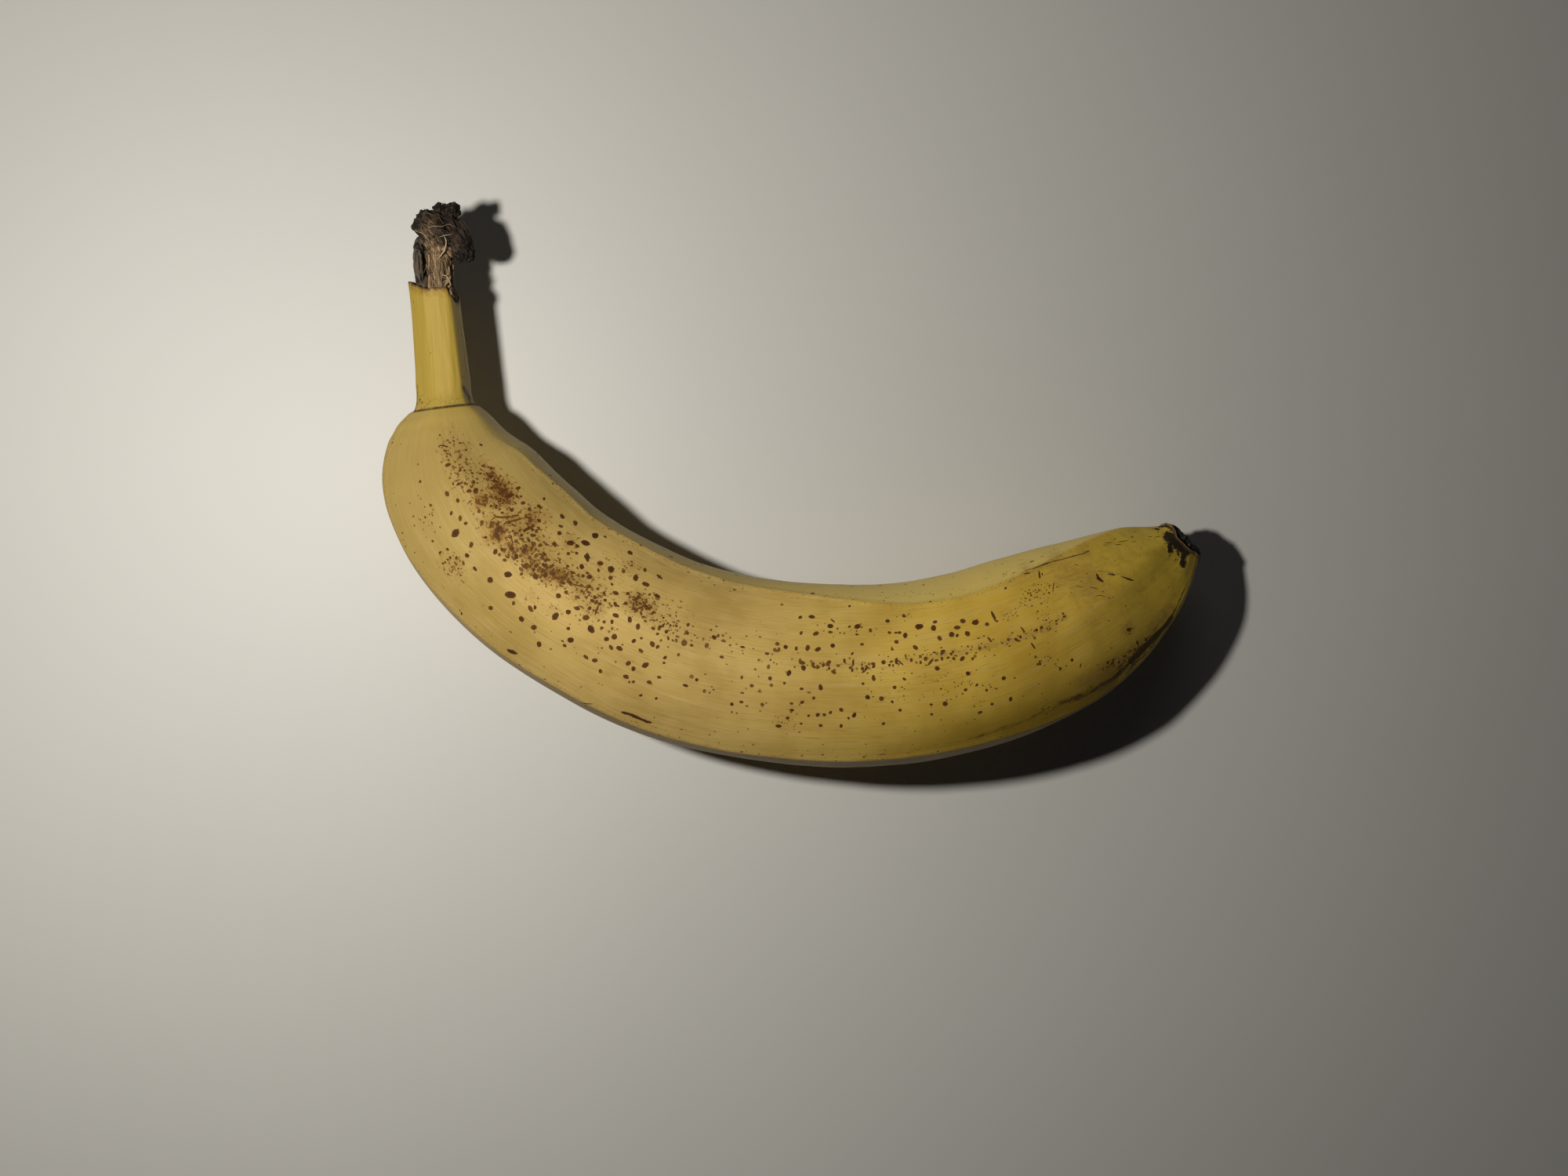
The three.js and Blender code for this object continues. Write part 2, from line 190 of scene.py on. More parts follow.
# %% The ribs, from the stalk's rim to the blossom end
# along, x, y, z, wide, tall, angular, twist, outer edge, inner edge, flat top
RIBS = np.array(
    [
        (-4, -75.5, 66.8, 20.0, 5.6, 5.3, 0.80, -16, 0, 0, 0.80),
        (0, -75.1, 62.8, 20.0, 5.5, 5.2, 0.80, -16, 0, 0, 0.80),
        (6, -74.4, 56.8, 20.0, 5.6, 5.1, 0.80, -16, 0, 0, 0.80),
        (12, -73.8, 50.8, 19.9, 5.8, 5.2, 0.80, -16, 0, 0, 0.80),
        (18, -73.3, 44.8, 19.8, 6.1, 5.4, 0.80, -15, 0, 0, 0.82),
        (23.6, -72.9, 39.2, 19.7, 6.7, 6.0, 0.78, -13, 0, 0, 0.86),
        (26.1, -72.8, 36.7, 19.5, 9.7, 7.8, 0.70, -11, 2, 0, 0.88),
        (30, -72.6, 32.8, 19.2, 13.3, 10.4, 0.62, -10, 4, 0, 0.90),
        (35, -71.7, 27.9, 18.8, 16.6, 13.4, 0.54, -7, 5, 0, 0.95),
        (41, -69.5, 22.3, 18.4, 19.0, 16.3, 0.48, -4, 6, 0, 1),
        (49, -65.4, 15.4, 18.1, 20.3, 18.8, 0.42, -2, 6, 0, 1),
        (58, -59.6, 8.7, 18.0, 20.8, 20.2, 0.38, 0, 5, 0, 1),
        (70, -50.8, 0.8, 18.4, 20.8, 20.6, 0.36, 0, 5, 0, 1),
        (84, -39.3, -6.3, 18.5, 20.9, 20.7, 0.35, 0, 5, 0, 1),
        (98, -26.7, -12.4, 18.5, 21.1, 20.7, 0.35, 0, 5, 0, 1),
        (112, -13.4, -16.4, 18.5, 21.3, 20.7, 0.35, -1, 6, 0, 1),
        (126, 0.3, -18.5, 18.5, 21.6, 20.7, 0.35, -2, 8, -1, 1),
        (140, 14.1, -19.2, 18.5, 21.8, 20.7, 0.35, -4, 11, -4, 1),
        (154, 28.1, -18.3, 18.4, 21.6, 20.5, 0.36, -7, 15, -7, 1),
        (168, 41.7, -15.5, 18.0, 21.3, 20.2, 0.38, -10, 18, -6, 1),
        (180, 53.1, -11.2, 17.1, 20.8, 19.6, 0.42, -11, 15, -4, 1),
        (190, 62.0, -6.8, 16.0, 19.2, 18.4, 0.46, -9, 9, -2, 1),
        (199, 70.2, -2.4, 15.3, 17.0, 15.6, 0.55, -4, 7, 0, 1),
        (207, 77.4, 1.8, 14.3, 14.1, 11.6, 0.63, 4, 8, 0, 1),
        (213, 82.1, 5.3, 13.2, 11.0, 8.4, 0.68, 9, 8, 0, 1),
        (219, 86.5, 9.4, 12.2, 6.4, 5.2, 0.55, 8, 6, 0, 1),
        (222, 88.7, 11.5, 11.7, 5.6, 4.6, 0.45, 8, 4, 0, 1),
    ]
)
EDGES = np.array([30, 100, 148, 222, 305])  # degrees round the section, 90 is the top
OUTER_EDGE, SOFT_TOP_EDGE, INNER_EDGE = 0, 1, 2  # the ribs move these, or let them die out
EDGE_SHARPNESS = 18
NECK = 24.0  # where the stalk meets the body
NECK_LIP, NECK_STEP, NECK_FADE = 0.55, 0.5, 5.0
NECK_SLANT, NECK_SLANT_REACH = 0.45, 9.0  # it lies further along on the outside of the bend
TURN_REACH = 4.0  # the line's direction is taken over this length behind and ahead
RIM_MIDDLE, RIM_SLANT, RIM_NOTCH, RIM_FADE = -1.45, 1.8, 1.3, 10.0
BLOSSOM_END = 219.0
BODY_RADIUS, STALK_RADIUS = 20.0, 5.5  # mm: the cylinders on which the skin's noise is read


# %% Sections between the ribs
def rib_values(along):
    """The ribs' values at distances along: a cubic between two ribs that leaves each of them in
    the direction of its two neighbours."""
    knots, values = RIBS[:, 0], RIBS[:, 1:]
    slopes = np.empty_like(values)
    slopes[1:-1] = (values[2:] - values[:-2]) / (knots[2:] - knots[:-2])[:, None]
    slopes[0] = (values[1] - values[0]) / (knots[1] - knots[0])
    slopes[-1] = (values[-1] - values[-2]) / (knots[-1] - knots[-2])
    i = np.clip(np.searchsorted(knots, along, side="right") - 1, 0, len(knots) - 2)
    gap = (knots[i + 1] - knots[i])[..., None]
    t = (along - knots[i])[..., None] / gap
    return cubic(t, values[i], slopes[i], values[i + 1], slopes[i + 1], gap)


def edge_angles(along):
    """The five edges' angles round the section, each an array, with the ribs' turns added."""
    twist, outer, inner = np.moveaxis(rib_values(along)[..., 6:9], -1, 0)
    edges = [edge + twist for edge in EDGES]
    edges[OUTER_EDGE] = edges[OUTER_EDGE] + outer
    edges[INNER_EDGE] = edges[INNER_EDGE] + inner
    return edges


def section_radius(along, angle):
    """Radius of the section, 1 on the enclosing ellipse: each flat side holds it down to the
    side's own distance from the middle, and a high power joins the sides in soft edges."""
    edges = edge_angles(along)
    total = 0
    for low, high in zip(edges, edges[1:] + [edges[0] + 360]):
        facing = np.clip(cosine(angle - (low + high) / 2), 0, None)
        total = total + (facing / cosine((high - low) / 2)) ** EDGE_SHARPNESS
    angular, flat_top = rib_values(along)[..., 5], rib_values(along)[..., 9]
    facing = np.clip(cosine(angle - edges[SOFT_TOP_EDGE]), 0, None)
    total = total + np.where(flat_top < 0.995, (facing / flat_top) ** EDGE_SHARPNESS, 0)
    return 1 + angular * (total ** (-1 / EDGE_SHARPNESS) - 1)


def directions(along):
    """Unit arrows square to the middle line at distances along it: out of the bend, and up."""
    behind = np.maximum(along - TURN_REACH, RIBS[0, 0])
    ahead = np.minimum(along + TURN_REACH, RIBS[-1, 0])
    forward = unit(rib_values(ahead)[..., :3] - rib_values(behind)[..., :3])
    out = unit(place(forward[..., 1], -forward[..., 0], 0))
    return out, np.cross(out, forward)


def neck_shift(along, angle):
    """How much further along the neck's form lies at an angle than in the middle."""
    return NECK_SLANT * bell(along - NECK, NECK_SLANT_REACH) * cosine(angle)


def skin(along, angle, swell=0):
    """A point of the skin: from the middle line, the width times the cosine of the angle outwards
    and the height times its sine upwards. swell thickens the section, in millimetres."""
    form_along = along - neck_shift(along, angle)
    wide, tall = np.moveaxis(rib_values(form_along)[..., 3:5], -1, 0)
    r = section_radius(form_along, angle)
    lip = NECK_LIP * ease(NECK, NECK + NECK_STEP, form_along)
    lip = lip * np.exp(-np.maximum(form_along - NECK, 0) / NECK_FADE)
    out, up = directions(along)
    across = ((wide * r + lip + swell) * cosine(angle))[..., None] * out
    upward = ((tall * r + lip + swell) * sine(angle))[..., None] * up
    points = rib_values(along)[..., :3] + across + upward
    points[..., 2] = np.maximum(points[..., 2], 0)  # flat where the fruit lies on the table
    return points


def rim_shift(angle):
    """How far the torn rim is from the start of the middle line, at an angle round the stalk."""
    outside = cosine(angle)
    return RIM_MIDDLE - RIM_SLANT * outside**3 + RIM_NOTCH * np.maximum(-outside, 0) ** 4


# %% [markdown]
# ## From arrays to meshes
#
# Every new surface here is a stack of closed rings. One function turns such a stack into a mesh:
# quads between neighbouring rings, and a fan of triangles over each end so that the surface is
# closed. Writing whole arrays with foreach_set is many times faster than building faces one by
# one, and it keeps the corner order known, which the spots need later.

# %% Rings to a mesh
def ring_faces(rings, sides, start=0):
    """Corner numbers of a closed stack of rings: quads as (n, 4), fans as (n, 3). The first pole
    is point 0 of the stack and the last pole its last point."""
    ring, side = np.mgrid[0 : rings - 1, 0:sides]
    after = (side + 1) % sides
    quads = np.stack(
        [ring * sides + side, (ring + 1) * sides + side, (ring + 1) * sides + after, ring * sides + after],
        axis=-1,
    )
    side = np.arange(sides)
    after = (side + 1) % sides
    first = np.stack([0 * side, 1 + side, 1 + after], axis=-1)
    top = 1 + (rings - 1) * sides
    last = np.stack([top + side, 0 * side + top + sides, top + after], axis=-1)
    return quads.reshape(-1, 4) + 1 + start, np.concatenate([first, last]) + start


def make_mesh(name, points, quads, triangles):
    """A mesh object from points in millimetres and two lists of faces."""
    mesh = bpy.data.meshes.new(name)
    corners = np.concatenate([quads.ravel(), triangles.ravel()]).astype(np.int32)
    sizes = np.repeat([4, 3], [len(quads), len(triangles)]).astype(np.int32)
    mesh.vertices.add(len(points))
    mesh.vertices.foreach_set("co", (np.asarray(points) / 1000).astype(np.float32).ravel())
    mesh.loops.add(len(corners))
    mesh.loops.foreach_set("vertex_index", corners)
    mesh.polygons.add(len(sizes))
    mesh.polygons.foreach_set("loop_start", (np.cumsum(sizes) - sizes).astype(np.int32))
    mesh.polygons.foreach_set("use_smooth", np.ones(len(sizes), bool))
    mesh.update(calc_edges=True)
    mesh.validate()
    piece = bpy.data.objects.new(name, mesh)
    bpy.context.scene.collection.objects.link(piece)
    return piece


def stack_mesh(name, stacks):
    """One mesh of several closed stacks of rings. A stack's ends close on the middle of its first
    and last ring."""
    points, quads, triangles, start = [], [], [], 0
    for rings in stacks:
        count, sides = rings.shape[:2]
        ends = rings[0].mean(axis=0), rings[-1].mean(axis=0)
        points += [ends[0][None], rings.reshape(-1, 3), ends[1][None]]
        four, three = ring_faces(count, sides, start)
        quads.append(four)
        triangles.append(three)
        start += count * sides + 2
    piece = make_mesh(name, np.concatenate(points), np.concatenate(quads), np.concatenate(triangles))
    print(f"{name}: {len(stacks)} surfaces, {len(piece.data.polygons)} faces")
    return piece


def read_points(piece, name):
    """What a mesh holds for its points: their places in metres as "co", or each "normal"."""
    flat = np.empty(len(piece.data.vertices) * 3, np.float32)
    piece.data.vertices.foreach_get(name, flat)
    return flat.reshape(-1, 3).astype(float)


# %% [markdown]
# ## The peel
#
# The skin is one closed surface. At the stalk it ends in a thin torn edge that turns inwards
# round the dry crown, and at the blossom end in a puckered lip round the scar. A lattice with
# even steps would waste faces on the plain belly and miss the crease at the neck, so the
# distances along are close together only where the form turns fast.
#
# On top of the ribs comes what makes it a fruit and not a moulding: slow swells and shallow
# dents, flutes on the stalk, wrinkles on the shoulder and puckers towards the blossom end.

# %% Where the rings of the peel go
SIDES = 190
# from, to, number of steps
STRETCHES = [
    (0, 3, 18),
    (3, NECK - 0.8, 36),
    (NECK - 0.8, NECK + 1.2, 20),
    (NECK + 1.2, 60, 74),
    (60, 188, 200),
    (188, 213, 56),
    (213, BLOSSOM_END, 34),
]
# how far the skin turns in at the stalk's rim and at the blossom end: distance past it, drawn in
RIM_TURN = [(2.6, 2.4), (1.4, 1.3), (0.7, 1.0), (0.25, 0.8), (0.0, 0.62), (-0.1, 0.38), (-0.07, 0.15)]
LIP_TURN = [(0.14, 0.06), (0.2, 0.25), (0.12, 0.5), (-0.2, 0.75), (-0.7, 1.1), (-1.2, 2.2)]

stations = [0.0]
for start, stop, steps in STRETCHES:
    stations += list(np.linspace(start, stop, steps + 1)[1:])
ring_along = np.array([a for a, _ in RIM_TURN] + stations + [BLOSSOM_END + a for a, _ in LIP_TURN])
drawn_in = np.array([d for _, d in RIM_TURN] + [0] * len(stations) + [d for _, d in LIP_TURN])
ring_angle = even_angles(SIDES) - 90
print(f"the peel has {len(ring_along)} rings of {SIDES} points")

# %% Relief of the skin
# number of the edge, height and half width of the ridge that stands on it, and how far along
# it starts and ends
RIDGES = [
    (0, 0.26, 0.9, 28, 214),
    (1, 0.55, 2.8, 22, 110),
    (2, 0.34, 0.8, 28, 214),
    (3, 0.20, 1.5, 28, 214),
    (4, 0.20, 1.5, 28, 214),
]
# size in mm, height and seed of the noise that makes the skin uneven
SWELLS = [(24, 0.24, 1), (9, 0.10, 2), (3, 0.03, 3)]
# along, angle, half length, half width (degrees), depth: soft hollows in the skin
DENTS = [
    (40, 118, 7, 16, 0.45),
    (33, 60, 5, 14, 0.30),
    (92, 40, 10, 12, 0.25),
    (133, 122, 12, 10, 0.25),
    (186, 80, 9, 15, 0.30),
    (150, -35, 14, 18, 0.40),
    (75, 205, 12, 14, 0.40),
]


def edge_gap(along, angle, number):
    """How far round the skin an angle is from one of the five edges, in millimetres."""
    apart = turn_from(edge_angles(along)[number], angle)
    return np.radians(apart) * rib_values(along)[..., 3]


def relief(along, angle):
    """Height in millimetres over the plain section. Noise is read on a cylinder as thick as the
    fruit, so that it closes round it, and is stretched along it where the skin is fluted."""
    round_x, round_y = cosine(angle), sine(angle)
    body = place(along, BODY_RADIUS * round_x, BODY_RADIUS * round_y)
    height = sum(tall * noise(body / size, seed) for size, tall, seed in SWELLS)
    fibres = place(along / 22, BODY_RADIUS * round_x / 1.5, BODY_RADIUS * round_y / 1.5)
    height = height + 0.018 * rough(fibres, 2, 5)
    stalk = 1 - ease(NECK - 4, NECK + 1, along)
    flutes = place(along / 16, STALK_RADIUS * round_x / 1.1, STALK_RADIUS * round_y / 1.1)
    height = height * (1 - 0.6 * stalk) + 0.08 * stalk * rough(flutes, 3, 8)
    for at, turn, length, width, depth in DENTS:
        apart = turn_from(turn, angle)
        height = height - depth * np.exp(-(((along - at) / length) ** 2) - (apart / width) ** 2)
    for number, tall, half_width, start, stop in RIDGES:
        tall = tall * ease(start, start + 16, along) * ease(stop, stop - 30, along)
        height = height + tall * bell(edge_gap(along, angle, number), half_width)
    shoulder = ease(NECK + 0.6, NECK + 2, along) * ease(NECK + 8, NECK + 4, along)
    outer_side = np.clip(cosine(angle - 35), 0, 1) ** 2
    ripple = np.sin(2.1 * along + 0.045 * angle + 1.5 * noise(body / 6, 11))
    height = height + 0.09 * shoulder * outer_side * ripple
    pucker = ease(200, BLOSSOM_END, along) ** 2
    folds = noise(place(along / 12, 3.2 * round_x, 3.2 * round_y), 13)
    return height + 0.42 * pucker * folds


LIP_HEIGHT, LIP_WIDTH = 0.3, 0.16  # mm
GATHER_SHARE = 0.55  # how much of its way to a sharp edge a point beside it moves
GATHER_REACH = 14  # degrees


def blossom_lip(along):
    """The dry lip round the scar: a sharp bead on the last ring of the skin."""
    return LIP_HEIGHT * bell(along - BLOSSOM_END, LIP_WIDTH)


def gather(along, angle):
    """Draws the points of a ring together on the two sharp edges that are seen."""
    moved = angle
    for number in (OUTER_EDGE, INNER_EDGE):
        apart = turn_from(edge_angles(along)[number], angle)
        moved = moved - GATHER_SHARE * apart * bell(apart, GATHER_REACH)
    return moved


# %% Make the peel
along_grid, angle_grid = np.meshgrid(ring_along, ring_angle, indexing="ij")
angle_grid = gather(along_grid, angle_grid)
torn_edge = 0.45 * rough(circle(2.6, ring_angle), 4, 19)
slide = (rim_shift(ring_angle) + torn_edge) * (1 - ease(0, RIM_FADE, ring_along))[:, None]
sag_in = 0.5 * ease(1.2, 0, along_grid) * noise(circle(4, angle_grid, 3), 21)
peel_along = along_grid + slide + neck_shift(along_grid, angle_grid)
# near the blossom end the rings wander along the fruit, so that the lip isn't a plain circle
wander = 0.9 * rough(circle(1.6, ring_angle, 0.5), 3, 17)
wander = wander * ease(214, BLOSSOM_END, ring_along)[:, None]
height = relief(peel_along, angle_grid) + blossom_lip(along_grid) + sag_in
peel_along = peel_along + wander
peel_rings = skin(peel_along, angle_grid, height - drawn_in[:, None])

peel = stack_mesh("peel", [peel_rings + ORIGIN])
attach(peel, "root")
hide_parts("banana")

# %% Aim the camera
camera = bpy.data.objects.new("camera", bpy.data.cameras.new("camera"))
camera.data.sensor_width = 36
camera.data.lens = FOCAL_LENGTH
camera.data.clip_start = 0.01
camera.location = (ORIGIN + (0, 0, CAMERA_HEIGHT)) / 1000
bpy.context.scene.collection.objects.link(camera)
bpy.context.scene.camera = camera
print(f"the camera looks down from {np.round(np.array(camera.location), 3)} m")

# %% [markdown]
# ## What the skin carries from place to place
#
# The colour of a banana isn't the same all over: it is greenish at the ends, bruised where it was
# pressed and scuffed on its edges. Light and shade are painted into it too: grey-olive painted shade
# on the under side and the inner face, paler painted light on the inner face of the far half, olive
# mottles and grey-brown painted shade on the face below the outer edge, and painted shade along the
# outer edge towards the blossom end and in the stalk's crease. Such slow changes are worked out here
# once for each point of the mesh and stored as attributes, which a material can read and roughen
# with fine noise. A texture painted by hand would do the same, but a formula can be changed and
# needs no file.

# %% Slow fields over the peel
# Soft brown haze where the skin was pressed: x, y, half width, strength, as the camera sees them
BRUISES = [
    (-71.7, 33.4, 2.2, 0.22), (-72.5, 30.4, 2.2, 0.28), (-69.1, 29.2, 2.8, 0.32),
    (-71.4, 25.6, 2.4, 0.22), (-68.3, 21.6, 3.0, 0.30), (-65.2, 26.4, 2.0, 0.34),
    (-63.0, 24.1, 1.8, 0.62), (-61.3, 21.6, 2.2, 0.85), (-60.0, 19.8, 2.2, 0.90),
    (-62.1, 19.1, 2.4, 0.50), (-65.2, 19.1, 2.4, 0.62), (-63.0, 14.1, 2.4, 0.52),
    (-58.5, 14.6, 2.6, 0.55), (-54.5, 14.9, 2.6, 0.60), (-51.9, 15.1, 2.2, 0.38),
    (-61.4, 11.8, 2.2, 0.75), (-63.2, 10.7, 2.0, 0.42), (-57.1, 12.1, 2.8, 0.48),
    (-54.0, 11.2, 3.0, 0.38), (-58.5, 8.7, 2.4, 0.60), (-55.5, 7.9, 2.4, 0.66), (-51.7, 8.4, 3.0, 0.40),
    (-54.0, 5.3, 2.4, 0.66), (-50.9, 5.9, 3.0, 0.42), (-50.9, 3.3, 2.2, 0.74), (-48.1, 2.5, 2.2, 0.74),
    (-46.4, 2.0, 2.0, 0.60), (-44.1, 0.8, 2.6, 0.52), (-46.1, 9.8, 2.0, 0.42), (-43.6, -0.8, 3.2, 0.46),
    (-40.8, -3.7, 3.0, 0.44), (-31.5, -3.1, 2.4, 0.58), (-28.9, -4.0, 2.4, 0.42),
    (-32.9, 4.8, 2.2, 0.30), (-38.2, 2.8, 5.0, 0.22), (-25.3, -6.2, 4.0, 0.22),
    (-49.5, -4.8, 2.0, 0.26), (-54.2, -1.8, 1.8, 0.26), (-73.0, 5.9, 1.6, 0.34),
    (-70.8, 4.8, 2.4, 0.38), (-69.6, 2.5, 2.0, 0.24), (60.5, 2.5, 4.5, 0.28), (66.0, 0.5, 5.0, 0.34),
    (74.0, -8.8, 1.6, 0.45), (56.0, -8.5, 2.0, 0.30), (52.0, 4.2, 2.0, 0.30), (58.5, 6.6, 2.2, 0.30),
    (64.5, 8.0, 1.8, 0.35),
]
# Thin brown haze along lines: half width, strength and route
HAZE_LINES = [
    (4.5, 0.27, [(-70.0, 28.0), (-62.0, 20.0), (-57.0, 12.0), (-50.0, 5.0), (-42.0, 0.5)]),
    (4.0, 0.20, [(-42.0, 0.5), (-30.0, -4.0), (-22.0, -8.0)]),
    (0.8, 0.30, [(51.3, 3.2), (55.3, 4.6), (59.4, 5.8), (65.6, 7.6)]),
    (1.0, 0.34, [(31, -15.0), (43.8, -12.6), (50.0, -11.0), (56.5, -8.6), (60.6, -6.3)]),
    (0.9, 0.22, [(3, -16.4), (17, -16.5), (31, -15.0)]),
    (2.0, 0.42, [(64.0, -20.4), (71.0, -17.0), (76.0, -12.8), (80.2, -8.6), (83.0, -4.6)]),
]
# Brown and black on the outer edge towards the blossom end, partly scuffs and partly painted
# shadow along the edge: half width, strength and route
SCUFFS_AND_SHADE = [
    (0.5, 0.40, [(17.0, -36.2), (27.0, -35.2), (36.0, -33.4), (41.6, -32.0)]),
    (0.6, 0.50, [(41.6, -32.0), (50.6, -29.0), (55.2, -27.0), (59.7, -24.9)]),
    (0.9, 0.60, [(59.7, -24.9), (64.1, -23.2), (67.5, -21.5), (70.5, -19.8)]),
    (0.7, 0.66, [(70.5, -19.8), (72.8, -17.6), (75.2, -15.6)]),
    (0.75, 1.00, [(74.6, -15.9), (76.2, -14.3), (77.6, -12.8), (79.1, -11.3), (80.6, -9.7)]),
    (0.50, 0.95, [(80.6, -9.7), (82.2, -8.0), (83.4, -6.2)]),
    (0.26, 0.62, [(83.4, -6.2), (84.7, -3.6), (86.0, -0.6), (87.1, 1.8)]),
    (0.35, 0.60, [(73.6, -18.4), (76.6, -15.4), (79.8, -12.0)]),
    (0.9, 0.30, [(67.5, -17.6), (71.5, -15.6), (75.0, -12.8)]),
    (0.30, 0.50, [(70.4, -18.6), (74.2, -14.8), (78.0, -10.9), (80.6, -7.6)]),
    # brown on the left foot of the stalk, and black on the right one, which is painted shade
    (0.55, 0.46, [(-79.0, 43.6), (-78.7, 41.8), (-79.4, 39.8)]),
    (0.50, 0.85, [(-68.9, 43.2), (-68.3, 41.9), (-67.4, 40.7)]),
]
# The scorched patch beside the blossom end, and smaller ones round it
SCORCHES = [
    (1.15, 1.0, [(82.8, 11.1), (83.7, 10.4), (84.6, 9.6), (85.6, 8.8), (86.6, 8.0)]),
    (0.60, 0.85, [(83.4, 9.8), (83.0, 8.8), (83.2, 8.0)]),
    (0.70, 0.85, [(86.2, 7.6), (85.8, 6.4), (85.9, 5.0)]),
    (0.30, 0.8, [(82.2, 13.4), (83.5, 12.7), (84.2, 11.9)]),
    (0.28, 0.7, [(80.8, 13.2), (82.2, 13.3)]),
    (0.28, 0.7, [(80.0, 12.7), (80.6, 12.6)]),
    (0.30, 0.6, [(84.6, 8.0), (84.9, 7.0)]),
]


def soft_blobs(points, blobs):
    """The strongest of round soft blobs at each point: strength times a bell of the distance."""
    field = np.zeros(len(points))
    for x, y, width, strength in blobs:
        apart = np.hypot(points[:, 0] - x, points[:, 1] - y)
        field = np.maximum(field, strength * np.exp(-((apart / width) ** 2) / 1.6))
    return field


def soft_routes(points, routes):
    """The same round lines through a few places: a bell of the distance from the nearest leg."""
    field = np.zeros(len(points))
    for width, strength, route in routes:
        for start, stop in zip(np.array(route[:-1]), np.array(route[1:])):
            leg = stop - start
            t = np.clip(((points - start) @ leg) / (leg @ leg), 0, 1)
            apart = np.linalg.norm(points - start - t[:, None] * leg, axis=-1)
            field = np.maximum(field, strength * bell(apart, width))
    return field


def to_points(grid):
    """A value for each ring and side as a value for each point of the stack, poles included."""
    return np.concatenate([[grid[0].mean()], grid.ravel(), [grid[-1].mean()]])


def set_values(piece, name, values):
    """Stores one number for each point of a mesh, for a material to read."""
    made = piece.data.attributes.new(name, "FLOAT", "POINT")
    made.data.foreach_set("value", np.asarray(values, np.float32))


peel_points = read_points(peel, "co") * 1000 - ORIGIN
seen = seen_at(peel_points)
normals = read_points(peel, "normal")
faces_up = ease(-0.05, 0.25, normals[:, 2])
point_along, point_angle = to_points(peel_along), to_points(angle_grid)


def edge_line(number, half_width=2.0):
    """1 on one of the five edges, falling off as a bell over half_width millimetres."""
    return bell(edge_gap(point_along, point_angle, number), half_width)


on_body = ease(NECK, NECK + 6, point_along)
bruise = np.maximum(soft_blobs(seen, BRUISES), soft_routes(seen, HAZE_LINES))
set_values(peel, "bruise", bruise * faces_up)
# scuffs on the outer edge, partly painted shadow along it, and painted shade at the stalk's right foot
set_values(peel, "scuff_and_shade", soft_routes(seen, SCUFFS_AND_SHADE) * faces_up)
end_spread = 0.5 * ease(211, 219, point_along) * (1 - faces_up)
set_values(peel, "scorch", np.maximum(soft_routes(seen, SCORCHES) * faces_up, end_spread))
hard_edges = [number for number in range(len(EDGES)) if number != SOFT_TOP_EDGE]
set_values(peel, "edge", on_body * sum(edge_line(number) for number in hard_edges))
set_values(peel, "along", point_along)
set_values(peel, "form_along", point_along - neck_shift(point_along, point_angle))
set_values(peel, "side", np.abs(cosine(point_angle)) * faces_up)
past_outer = edge_gap(point_along, point_angle, OUTER_EDGE)
past_inner = edge_gap(point_along, point_angle, INNER_EDGE)
# the inner face and the under side: masks for painted shade, and for paler painted light on the far half
inner_side = ease(-0.2, -0.4, cosine(point_angle))
set_values(peel, "inner", ease(-0.1, 0.6, past_inner) * inner_side * on_body)
set_values(peel, "under", ease(0.1, -0.6, normals[:, 2]))
# the face below the outer edge: mask for grey-brown painted shade
outer_face_shade = ease(0.4, -0.8, past_outer) * ease(-40, -20, point_angle)
# the lower outer face towards the blossom end: mask for olive mottles with painted shade
low_shade_side = ease(15, 1, past_outer) * ease(125, 170, point_along)
set_values(peel, "low", low_shade_side * ease(219, 206, point_along))
set_values(peel, "below", outer_face_shade * ease(50, 90, point_along) * ease(219, 213, point_along))
set_values(peel, "rim", to_points(np.broadcast_to(ring_along[:, None], peel_along.shape)))
print("peel attributes:", ", ".join(a.name for a in peel.data.attributes if a.data_type == "FLOAT"))

# %% [markdown]
# ## Spots, flecks and strokes
#
# Ripe skin is covered with crisp brown spots. A cell texture gives spots of one size anywhere, and
# an image would need a file. Here each mark is an ellipse with a place, a direction and two half
# sizes. Every face of the peel remembers the mark nearest to it, and its corners store where they
# are in that mark's own measure, as a UV map. Inside a face such a measure is exact, so a mark's
# outline is sharp at any size, and the material can fray it.
#
# The larger spots lie where they were seen. The fine flecks, and all marks on the hidden sides,
# are drawn at random in zones, always from the same seed.

